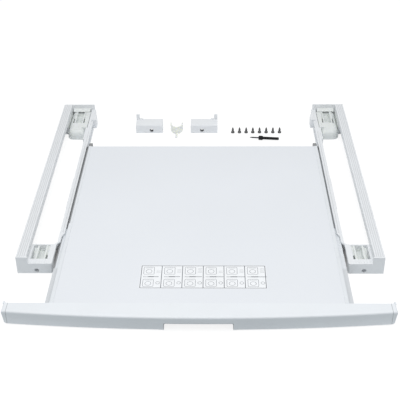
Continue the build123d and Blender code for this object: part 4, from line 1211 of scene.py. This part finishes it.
class KIT_OT_fascia(bpy.types.Operator):
    """Bowed front of the shelf with its finger notch, and its end caps"""

    bl_idname = "kit.fascia"
    bl_label = "Fascia"

    bow: length_prop("Bow", "How far the middle stands in front of the ends", 14 * MM)
    wall: length_prop("Wall", "Thickness of the shell", 2.5 * MM)
    top_round: length_prop("Top radius", "Rounding between the face and the top", 3.2 * MM)
    foot_round: length_prop("Foot radius", "Rounding under the face", 1.8 * MM)
    notch_round: length_prop("Notch edge radius", "Rounding of the notch's edges", 0.75 * MM)
    notch_height: length_prop("Notch height", "From the lower edge to the notch's top", 11.8 * MM)
    notch_flare: length_prop("Notch flare", "How much wider the notch is at its foot", 0.6 * MM)
    notch_corner: length_prop("Notch corner", "Radius of the notch's upper corners", 2 * MM)
    foot_blend: length_prop("Foot blend", "Over which the foot's rounding grows", 8 * MM)
    back_height: length_prop("Back wall", "Height of the wall behind", 16 * MM)
    seam: length_prop("Seam", "Width of the gap to the end caps", 0.35 * MM)
    ledge: length_prop("Flange", "Thickness of the flange under the board", 3.2 * MM)
    ledge_inset: length_prop("Flange inset", "From the board's side to the flange", 19.5 * MM)
    rib_half: length_prop("Half rib", "Half the thickness of a rib", 1 * MM)
    rib_rise: length_prop("Rib depth", "How far the ribs reach down from the top", 6 * MM)
    rib_count: IntProperty(name="Ribs", description="On each side of the notch", default=4, min=1)

    # Into how many places the notch's top, its corners, its foot, the lower edge and the
    # roundings of the section are divided, and where a ring has points up the face
    TOP_PLACES, CORNER_PLACES, FOOT_PLACES, EDGE_PLACES = 6, 7, 6, 26
    UNDER_PLACES, OVER_PLACES, FACE_SHARES = 5, 7, (0.35, 0.7)
    # Shares: of its rounding, which the notch's foot keeps, of the wall, in its softened inner
    # corners and in how far the ribs reach into it, and of the seam, by which the ends step back
    FOOT_SHARE, SOFT_SHARE, OVERLAP_SHARE, SEAM_SHARE = 0.98, 0.12, 0.3, 0.7

    def face_y(self, x):
        """Where the bowed face stands at a place across it."""
        return self.low.y + self.radius - sqrt(self.radius**2 - x**2)

    def outline(self):
        """The lower edge's right half from the middle: places, directions in and roundings."""
        lean = atan(self.notch_flare / self.notch_height)
        ground, top = self.low.z, self.low.z + self.notch_height
        corner, small = self.notch_corner, self.notch_round
        centre_z = top - corner
        half = sizes().notch_half
        centre_x = (half - self.notch_flare * (centre_z - ground) / self.notch_height
                    - corner / cos(lean))
        edge = [(x, top, pi / 2, small) for x in evenly(0, centre_x, self.TOP_PLACES)]
        for angle in evenly(pi / 2, lean, self.CORNER_PLACES)[1:]:
            edge.append((centre_x + corner * cos(angle), centre_z + corner * sin(angle), angle,
                         small))
        foot_x, foot_z = half + small, ground + small
        edge.append(((edge[-1][0] + half) / 2, (edge[-1][1] + foot_z) / 2, lean, small))
        for angle in evenly(0, pi / 2, self.FOOT_PLACES):
            edge.append((foot_x - small * cos(angle), foot_z - small * sin(angle), angle,
                         self.FOOT_SHARE * small))
        for x in evenly(foot_x, self.high.x - self.seam, self.EDGE_PLACES)[1:]:
            share = min(1, (x - foot_x) / self.foot_blend)
            edge.append((x, ground, pi / 2, small + share * (self.foot_round - small)))
        return edge

    def column(self, edge, top_x, inset=0.0):
        """One ring of the section: up the face, over the top and down inside again."""
        x, z, angle, rounding = edge
        ring = []
        for turn in evenly(0, pi / 2, self.UNDER_PLACES):
            along = rounding * (1 - cos(turn))
            place = x + cos(angle) * along
            ring.append((place, self.face_y(place) + rounding * (1 - sin(turn)) + inset,
                         z + sin(angle) * along + inset))
        foot, crest = ring[-1], self.high.z - self.top_round - inset
        for share in self.FACE_SHARES:
            place = foot[0] + share * (top_x - foot[0])
            ring.append((place, self.face_y(place) + inset, foot[2] + share * (crest - foot[2])))
        face = self.face_y(top_x) + inset
        for turn in evenly(0, pi / 2, self.OVER_PLACES):
            ring.append((top_x, face + self.top_round * (1 - cos(turn)),
                         crest + self.top_round * sin(turn)))
        soft, inner = self.SOFT_SHARE * self.wall, face + self.wall
        under, behind = self.high.z - self.wall, self.back - self.wall
        bottom = self.high.z - self.back_height
        ring += [
            (top_x, self.back - soft, self.high.z - inset), (top_x, self.back, self.high.z - soft),
            (top_x, self.back, bottom + soft), (top_x, self.back - soft, bottom),
            (top_x, behind + soft, bottom), (top_x, behind, bottom + soft),
            (top_x, behind, under), (top_x, inner, under),
        ]
        place = x + cos(angle) * soft
        ring += [(place, self.face_y(place) + inset + self.wall, z + sin(angle) * soft + inset),
                 (x, self.face_y(x) + inset + self.wall - soft, z + inset)]
        return ring

    def columns(self):
        """Every ring of the shell, from its left end to its right end."""
        half = self.outline()
        steep = [index for index, edge in enumerate(half) if edge[2] < pi / 2 - SMALL]
        first, last = steep[0] - 1, steep[-1] + 2
        spread = evenly(half[first][0], half[last][0], last - first + 1)
        rings = []
        for index, edge in enumerate(half):
            top_x = spread[index - first] if first <= index <= last else edge[0]
            rings.append(self.column(edge, top_x))
        end = (self.high.x, half[-1][1], half[-1][2], half[-1][3])
        rings.append(self.column(end, self.high.x, inset=self.SEAM_SHARE * self.seam))
        mirrored = [[(-x, y, z) for x, y, z in ring] for ring in reversed(rings[1:])]
        return mirrored + rings

    def shell(self):
        """The hollow front: a grid laid round the section and along the bow."""
        rings = self.columns()
        around = len(rings[0])
        piece = add_primitive(bpy.ops.mesh.primitive_grid_add, x_subdivisions=len(rings) - 1,
                              y_subdivisions=around, size=1, location=(0, 0, 0))
        for vertex in piece.data.vertices:
            column = round((vertex.co.x + 0.5) * (len(rings) - 1))
            row = round((vertex.co.y + 0.5) * around) % around
            vertex.co = rings[column][row]
        edit(piece, "SELECT")
        bpy.ops.mesh.remove_doubles(threshold=SMALL)
        for end in (-self.high.x, self.high.x):
            select_where(piece, lambda place: abs(place.x - end) < SMALL)
            bpy.ops.mesh.edge_face_add()
        face_outwards()
        return piece

    def inside(self):
        """The flange under the board and the ribs under the top."""
        low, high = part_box("shelf_panel")
        half_flange, reach = high.x - self.ledge_inset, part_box("fascia")[1].y
        overlap, under = self.OVERLAP_SHARE * self.wall, self.high.z - self.wall
        pieces = [block("fascia_flange", (-half_flange, self.back - overlap, low.z - self.ledge),
                        (half_flange, reach, low.z))]
        for place in evenly(sizes().notch_half, self.high.x, self.rib_count + 2)[1:-1]:
            front = self.face_y(place) + self.wall - overlap
            rear = self.back - self.wall + overlap
            for x in (-place, place):
                pieces.append(block(
                    "fascia_rib", (x - self.rib_half, front, under - self.rib_rise),
                    (x + self.rib_half, rear, under + overlap)))
        return pieces

    def execute(self, context):
        self.low, self.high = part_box("fascia")
        self.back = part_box("shelf_panel")[0].y
        half_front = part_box("right_end_cap")[1].x
        self.radius = (half_front**2 + self.bow**2) / (2 * self.bow)
        piece = joined("fascia_shell", self.shell(), *self.inside())
        shade_evenly(piece)
        fit_out(piece, "shelf", "fascia_plastic", fascia_plastic, "fascia")
        for side in SIDES:
            finish_node(side + "_end_cap", fascia_plastic)
        return {"FINISHED"}


class KIT_OT_shelf_screws(bpy.types.Operator):
    """Screws under the shelf"""

    bl_idname = "kit.shelf_screws"
    bl_label = "Shelf screws"

    def execute(self, context):
        pattern, head, count = shelf_screw(), SHELF_SCREW_HEAD, 5
        low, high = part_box("glide_screws")
        places = [Matrix.Translation((x, y, low.z)) for x in (low.x + head, high.x - head)
                  for y in evenly(low.y + head, high.y - head, count)]
        set_screws("glide_screw", places, pattern, "shelf", "glide_screws")
        low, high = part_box("fascia_screws")
        row = [Matrix.Translation((x, (low.y + high.y) / 2, low.z))
               for x in evenly(low.x + head, high.x - head, count)]
        set_screws("fascia_screw", row, pattern, "shelf", "fascia_screws", len(places) + 1)
        bpy.data.objects.remove(pattern)
        return {"FINISHED"}


class KIT_OT_stop_clips(bpy.types.Operator):
    """Dark clips at the rear ends of the glides"""

    bl_idname = "kit.stop_clips"
    bl_label = "Stop clips"

    def execute(self, context):
        for side in SIDES:
            rounded_node(side + "_stop_clip", sizes().fine_round, "shelf", "black_plastic",
                         clip_grey)
        return {"FINISHED"}


class KIT_OT_label(bpy.types.Operator):
    """Film ruled into equal cells, with a plain outline figure in each"""

    bl_idname = "kit.label"
    bl_label = "Label"

    # A figure's places and sizes, as shares of its cell, and its lines' widths in printed lines
    BODY, BODY_X, BODY_Y = (0.52, 0.33), -0.12, 0.27
    SHELF_X, SHELF_WIDTH, SHELF_REACH, SHELF_STEP, SHELF_LINE = 0.06, 0.3, 0.2, 0.05, 2
    RAIL_HEIGHT, RAIL_LINE, THIN_LINE = 3.4, 0.7, 0.7
    RING_X, RING_Y, RING_RADIUS = 0.34, -0.27, 0.1
    BAR_Y, BAR_STEP, BAR_WIDTH = 0.2, 0.055, 0.2
    # A machine's, as shares of its body
    CORNER, DOOR_Y, DOOR_RADIUS, PANEL_Y, PANEL_WIDTH = 0.12, 0.08, 0.29, 0.36, 0.66

    def patch(self, centre, size, rounding=0.0):
        """An open flat rectangle on the film, in edit mode and selected."""
        piece = add_primitive(bpy.ops.mesh.primitive_plane_add, scale=(*size, 1), size=1,
                              location=(*centre, self.height))
        edit(piece, "SELECT")
        if rounding:
            bpy.ops.mesh.bevel(offset=rounding, segments=4, affect="VERTICES")
            bpy.ops.mesh.select_all(action="SELECT")

    def disc(self, centre, radius):
        """An open flat disc on the film, in edit mode and selected."""
        piece = add_primitive(bpy.ops.mesh.primitive_circle_add, vertices=28, radius=radius,
                              fill_type="NGON", location=(*centre, self.height))
        edit(piece, "SELECT")

    def print_shape(self, line=0.0):
        """Raises the flat shape as ink: whole, or as an outline of a line's width."""
        if line:
            bpy.ops.mesh.inset(thickness=line, use_even_offset=True)
            bpy.ops.mesh.delete(type="FACE")
            bpy.ops.mesh.select_all(action="SELECT")
        bpy.ops.mesh.extrude_region_move(
            TRANSFORM_OT_translate={"value": (0, 0, sizes().print_depth)})
        face_outwards()
        self.pieces.append(bpy.context.object)

    def machine(self, centre, size, line):
        """Outline of a square machine: a body, a round door and a narrow top panel."""
        width, depth = size
        self.patch(centre, size, self.CORNER * width)
        self.print_shape(line)
        self.disc(centre - Vector((0, self.DOOR_Y * depth)), self.DOOR_RADIUS * width)
        self.print_shape(line)
        self.patch(centre + Vector((0, self.PANEL_Y * depth)),
                   (self.PANEL_WIDTH * width, self.THIN_LINE * line))
        self.print_shape()

    def figure(self, centre, size, step, line):
        """Two machines with the shelf between them at one of its places, a ring and some bars."""
        width, depth = size
        body = (self.BODY[0] * width, self.BODY[1] * depth)
        machine_x, ring_x = self.BODY_X * width, self.RING_X * width
        for way in (-1, 1):
            self.machine(centre + Vector((machine_x, way * self.BODY_Y * depth)), body, line)
        reach = (self.SHELF_REACH + self.SHELF_STEP * step) * width
        self.patch(centre + Vector((self.SHELF_X * width + reach / 4, 0)),
                   (self.SHELF_WIDTH * width + reach, self.SHELF_LINE * line))
        self.print_shape()
        self.patch(centre + Vector((machine_x, 0)), (body[0], self.RAIL_HEIGHT * line), line)
        self.print_shape(self.RAIL_LINE * line)
        self.disc(centre + Vector((ring_x, self.RING_Y * depth)), self.RING_RADIUS * width)
        self.print_shape(line)
        for row in range(step % 3 + 2):
            self.patch(centre + Vector((ring_x, (self.BAR_Y + self.BAR_STEP * row) * depth)),
                       (self.BAR_WIDTH * width, self.THIN_LINE * line))
            self.print_shape()

    def execute(self, context):
        finish_node("label_plate", label_film)
        low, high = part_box("label_plate")
        self.height, self.pieces = high.z, []
        line, count = sizes().print_line, sizes().print_cells
        margin, bold = 2 * line, 1.9 * line
        width, depth = high.x - low.x - 2 * margin, high.y - low.y - 2 * margin
        middle = Vector(((low.x + high.x) / 2, (low.y + high.y) / 2))
        self.patch(middle, (width, depth))
        self.print_shape(bold)
        cell = width / count
        for index in range(count):
            centre = middle + Vector(((index - (count - 1) / 2) * cell, 0))
            if index:
                self.patch(centre - Vector((cell / 2, 0)), (bold, depth - bold))
                self.print_shape()
            self.figure(centre, (cell, depth), index, line)
        ink = joined("label_print", *self.pieces)
        fit_out(ink, "shelf", "label_film", label_ink)
        return {"FINISHED"}


class KIT_OT_brackets(bpy.types.Operator):
    """Loose brackets with a screw hole and an upright tab"""

    bl_idname = "kit.brackets"
    bl_label = "Brackets"

    rounding: length_prop("Rounding", "Radius on the brackets' edges", 0.4 * MM)

    def execute(self, context):
        for side in SIDES:
            hole = mount(side + "_bracket_hole")
            rounded_node(side + "_bracket", self.rounding, side + "_bracket", "frame_plastic",
                         bracket_plastic, cuts=[("x", hole.x)])
        return {"FINISHED"}


class KIT_OT_spacer_clip(bpy.types.Operator):
    """Translucent clip with two prongs and a stem"""

    bl_idname = "kit.spacer_clip"
    bl_label = "Spacer clip"

    def execute(self, context):
        rounded_node("spacer_clip", sizes().fine_round, "spacer_clip", "clip_plastic",
                     clip_plastic)
        return {"FINISHED"}


class KIT_OT_kit_screws(bpy.types.Operator):
    """Eight screws that stand on their heads"""

    bl_idname = "kit.kit_screws"
    bl_label = "Kit screws"

    count: IntProperty(name="Screws", description="How many stand in the row", default=8, min=2)
    turn: angle_prop("Turn", "From the recess of one screw to the next one's", radians(47))

    def execute(self, context):
        pattern, head = kit_screw(), KIT_SCREW_HEAD
        low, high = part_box("mounting_screws")
        row = evenly(low.x + head, high.x - head, self.count)
        places = [Matrix.Translation((x, (low.y + high.y) / 2, low.z))
                  @ Matrix.Rotation(self.turn * number, 4, "Z")
                  for number, x in enumerate(row, 1)]
        set_screws("kit_screw", places, pattern, "mounting_screws", "mounting_screws")
        bpy.data.objects.remove(pattern)
        return {"FINISHED"}


class KIT_OT_driver(bpy.types.Operator):
    """Small black screwdriver with a fluted handle"""

    bl_idname = "kit.driver"
    bl_label = "Driver"

    shaft_length: length_prop("Shaft", "From the tip to the handle's collar", 18 * MM)
    shaft_radius: length_prop("Shaft radius", "Of the round part behind the blade", 1.4 * MM)
    blade_length: length_prop("Blade", "Length of the flat end", 3 * MM)
    blade_share: share_prop("Blade thickness", "As a share of the shaft's width", 0.34)
    collar_length: length_prop("Collar", "Length of the handle's thick end", 9 * MM)
    collar_radius: length_prop("Collar radius", "Of the handle's thick end", 4.5 * MM)
    handle_length: length_prop("Handle", "Length of the slender handle behind it", 33 * MM)
    handle_radius: length_prop("Handle radius", "Of the slender handle", 2.9 * MM)
    corner: length_prop("Corner rounding", "Of the collar and the handle's end", 1.2 * MM)
    flute_side: share_prop("Flute sides", "Depth there, as a share of the radius", 0.12)
    flute_middle: share_prop("Flute middle", "Depth there, as a share of the radius", 0.17)
    lie: angle_prop("Lie", "How far the driver is turned on the floor", radians(-1))

    def place(self):
        """From the driver's own Z axis, tip down, to where it lies on the floor."""
        tilt = atan((self.collar_radius - self.handle_radius) / self.handle_length)
        whole = self.shaft_length + self.collar_length + self.handle_length
        tip_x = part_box("driver_shaft")[0].x - self.shaft_radius * sin(tilt)
        tip_z = (whole - self.corner) * sin(tilt) + self.handle_radius * cos(tilt)
        turn = Matrix.Rotation(self.lie, 4, "Z") @ Matrix.Rotation(pi / 2 + tilt, 4, "Y")
        return Matrix.Translation((tip_x, middle_of("driver_handle").y, tip_z)) @ turn

    def shaft(self):
        """Round shaft whose end is flattened to a blade."""
        radius, length = self.shaft_radius, self.shaft_length + self.corner
        profile = (
            (0.92 * radius, 0), (radius, 0.15 * MM), (radius, 2.2 * MM), (radius, 4 * MM),
            (radius, length),
        )
        shaft = turned("driver_blade_shaft", profile, 24)
        for vertex in shaft.data.vertices:
            if vertex.co.z < self.blade_length:
                vertex.co.x *= self.blade_share
        return shaft

    def handle(self):
        """Collar and slender handle in one, fluted lengthwise."""
        start = self.shaft_length
        back = start + self.collar_length
        end = back + self.handle_length
        corner, radius, collar = self.corner, self.handle_radius, self.collar_radius
        soft = 0.3 * corner
        profile = (
            (collar - corner, start), (collar - soft, start + soft), (collar, start + corner),
            (collar, back - corner), (collar - soft, back - soft), (collar - corner, back),
            (radius, back + SMALL), (radius, back + 1.5 * MM), (radius, back + 3 * MM),
            (radius, end - 4 * MM), (radius, end - 2.5 * MM), (radius, end - corner),
            (radius - soft, end - soft), (radius - corner, end),
        )
        around = (0, 0, self.flute_side, self.flute_middle, self.flute_side, 0)
        handle = turned("driver_fluted_handle", profile, len(around) * sizes().flute_count)
        for vertex in handle.data.vertices:
            if back + 2 * MM < vertex.co.z < end - 3 * MM:
                share = 1 - around[vertex.index % len(around)]
                vertex.co.x *= share
                vertex.co.y *= share
        return handle

    def execute(self, context):
        for piece, slot, fill_in, node in (
            (self.shaft(), "dark_steel", dark_steel, "driver_shaft"),
            (self.handle(), "black_plastic", black_plastic, "driver_handle"),
        ):
            shade_evenly(piece)
            place_by(piece, self.place())
            fit_out(piece, "driver", slot, fill_in, node)
        return {"FINISHED"}


class KIT_OT_studio(bpy.types.Operator):
    """Pale floor, soft light and the camera at the photograph's angle"""

    bl_idname = "kit.studio"
    bl_label = "Studio"

    FLOOR_WIDTH, FLOOR_DROP, FRONT_FADE = 16, 0.1 * MM, 10 * MM

    def shown(self, tree, hidden, seen, output):
        path = tree.add("ShaderNodeLightPath").outputs
        glints = tree.maths("MAXIMUM", path["Is Glossy Ray"], path["Is Transmission Ray"])
        mix = tree.add("ShaderNodeMixShader")
        tree.join(tree.maths("MAXIMUM", path["Is Camera Ray"], glints), mix.inputs["Fac"])
        tree.join(hidden, mix.inputs[1])
        tree.join(seen, mix.inputs[2])
        tree.join(mix.outputs["Shader"], output.inputs["Surface"])

    def floor(self, studio):
        floor = add_primitive(bpy.ops.mesh.primitive_plane_add, "studio_floor",
                              size=self.FLOOR_WIDTH, location=(0, 0, -self.FLOOR_DROP))
        material = bpy.data.materials.new("studio_floor")
        material.use_nodes = True
        tree, nodes = Tree(material.node_tree), material.node_tree.nodes
        nodes.remove(nodes["Principled BSDF"])
        seen, hidden, lift = (tree.add(kind) for kind in (
            "ShaderNodeBsdfDiffuse", "ShaderNodeBsdfDiffuse", "ShaderNodeEmission"))
        seen.inputs["Color"].default_value = (*studio.floor_seen, 1.0)
        lift.inputs["Strength"].default_value = studio.floor_glow
        front, rear = (corner.y for corner in cad_box)
        depth = tree.axes()["Y"]
        near = tree.spread(depth, front - self.FRONT_FADE, front, 1.0, 0.0)
        tinted(tree, hidden, near, studio.floor_return, studio.front_return, "Color")
        far = tree.spread(depth, 0.0, rear / 2)
        tree.overlay(hidden.inputs["Color"], far, studio.rear_return)
        bright = tree.add("ShaderNodeAddShader")
        tree.join(seen.outputs["BSDF"], bright.inputs[0])
        tree.join(lift.outputs["Emission"], bright.inputs[1])
        self.shown(tree, hidden.outputs["BSDF"], bright.outputs["Shader"],
                   nodes["Material Output"])
        floor.data.materials.append(material)

    def light(self, studio):
        """Even light from all round and one large soft lamp above the shelf's front."""
        world = bpy.data.worlds.new("studio_sky")
        world.use_nodes = True
        bpy.context.scene.world = world
        tree, nodes = Tree(world.node_tree), world.node_tree.nodes
        fill, white = nodes["Background"], tree.add("ShaderNodeBackground")
        fill.inputs["Color"].default_value = (*studio.sky_colour, 1.0)
        fill.inputs["Strength"].default_value = studio.sky_level
        white.inputs["Color"].default_value = (1, 1, 1, 1)
        self.shown(tree, fill.outputs["Background"], white.outputs["Background"],
                   nodes["World Output"])
        bpy.ops.object.select_all(action="DESELECT")
        bpy.ops.object.light_add(type="AREA", location=studio.key_place)
        key = bpy.context.object
        key.name = "studio_key"
        key.data.size = studio.key_size
        key.data.energy = studio.key_level * (pi * studio.key_place[2]) ** 2

    def camera(self, studio):
        """The camera at the photograph's angle."""
        data = bpy.data.cameras.new("studio_camera")
        data.lens = studio.camera_lens
        data.sensor_width = 36
        data.clip_start = 10 * MM
        camera = bpy.data.objects.new("studio_camera", data)
        bpy.context.scene.collection.objects.link(camera)
        camera.matrix_world = (
            Matrix.Translation(studio.camera_place)
            @ Matrix.Rotation(studio.camera_yaw, 4, "Z")
            @ Matrix.Rotation(pi / 2 - studio.camera_pitch, 4, "X")
            @ Matrix.Rotation(studio.camera_roll, 4, "Z")
        )
        bpy.context.scene.camera = camera

    def execute(self, context):
        studio = context.scene.kit_studio
        self.floor(studio)
        self.light(studio)
        self.camera(studio)
        context.scene.view_settings.view_transform = "Standard"
        return {"FINISHED"}


OPERATORS = (
    KIT_OT_side_rails, KIT_OT_end_blocks, KIT_OT_foot_inserts, KIT_OT_grip_pads,
    KIT_OT_rail_screws, KIT_OT_shelf_board, KIT_OT_glides, KIT_OT_fascia, KIT_OT_shelf_screws,
    KIT_OT_stop_clips, KIT_OT_label, KIT_OT_brackets, KIT_OT_spacer_clip, KIT_OT_kit_screws,
    KIT_OT_driver, KIT_OT_studio,
)


class KIT_PT_pieces(bpy.types.Panel):
    bl_idname = "KIT_PT_pieces"
    bl_label = "Stacking kit"
    bl_space_type = "VIEW_3D"
    bl_region_type = "UI"
    bl_category = "Stacking kit"

    def draw(self, context):
        layout = self.layout
        for operator in OPERATORS:
            layout.operator(operator.bl_idname)
        for settings in (context.scene.kit_sizes, context.scene.kit_colours,
                         context.scene.kit_studio):
            box = layout.box()
            for name in type(settings).__annotations__:
                box.prop(settings, name)


CLASSES = (KitSizes, KitColours, StudioSettings, *OPERATORS, KIT_PT_pieces)


def register():
    for cls in CLASSES:
        bpy.utils.register_class(cls)
    bpy.types.Scene.kit_sizes = bpy.props.PointerProperty(type=KitSizes)
    bpy.types.Scene.kit_colours = bpy.props.PointerProperty(type=KitColours)
    bpy.types.Scene.kit_studio = bpy.props.PointerProperty(type=StudioSettings)


def unregister():
    del bpy.types.Scene.kit_studio
    del bpy.types.Scene.kit_colours
    del bpy.types.Scene.kit_sizes
    for cls in reversed(CLASSES):
        bpy.utils.unregister_class(cls)


def main():
    """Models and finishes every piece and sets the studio."""
    register()
    for operator in OPERATORS:
        group, name = operator.bl_idname.split(".")
        getattr(getattr(bpy.ops, group), name)()


if __name__ == "__main__":
    main()
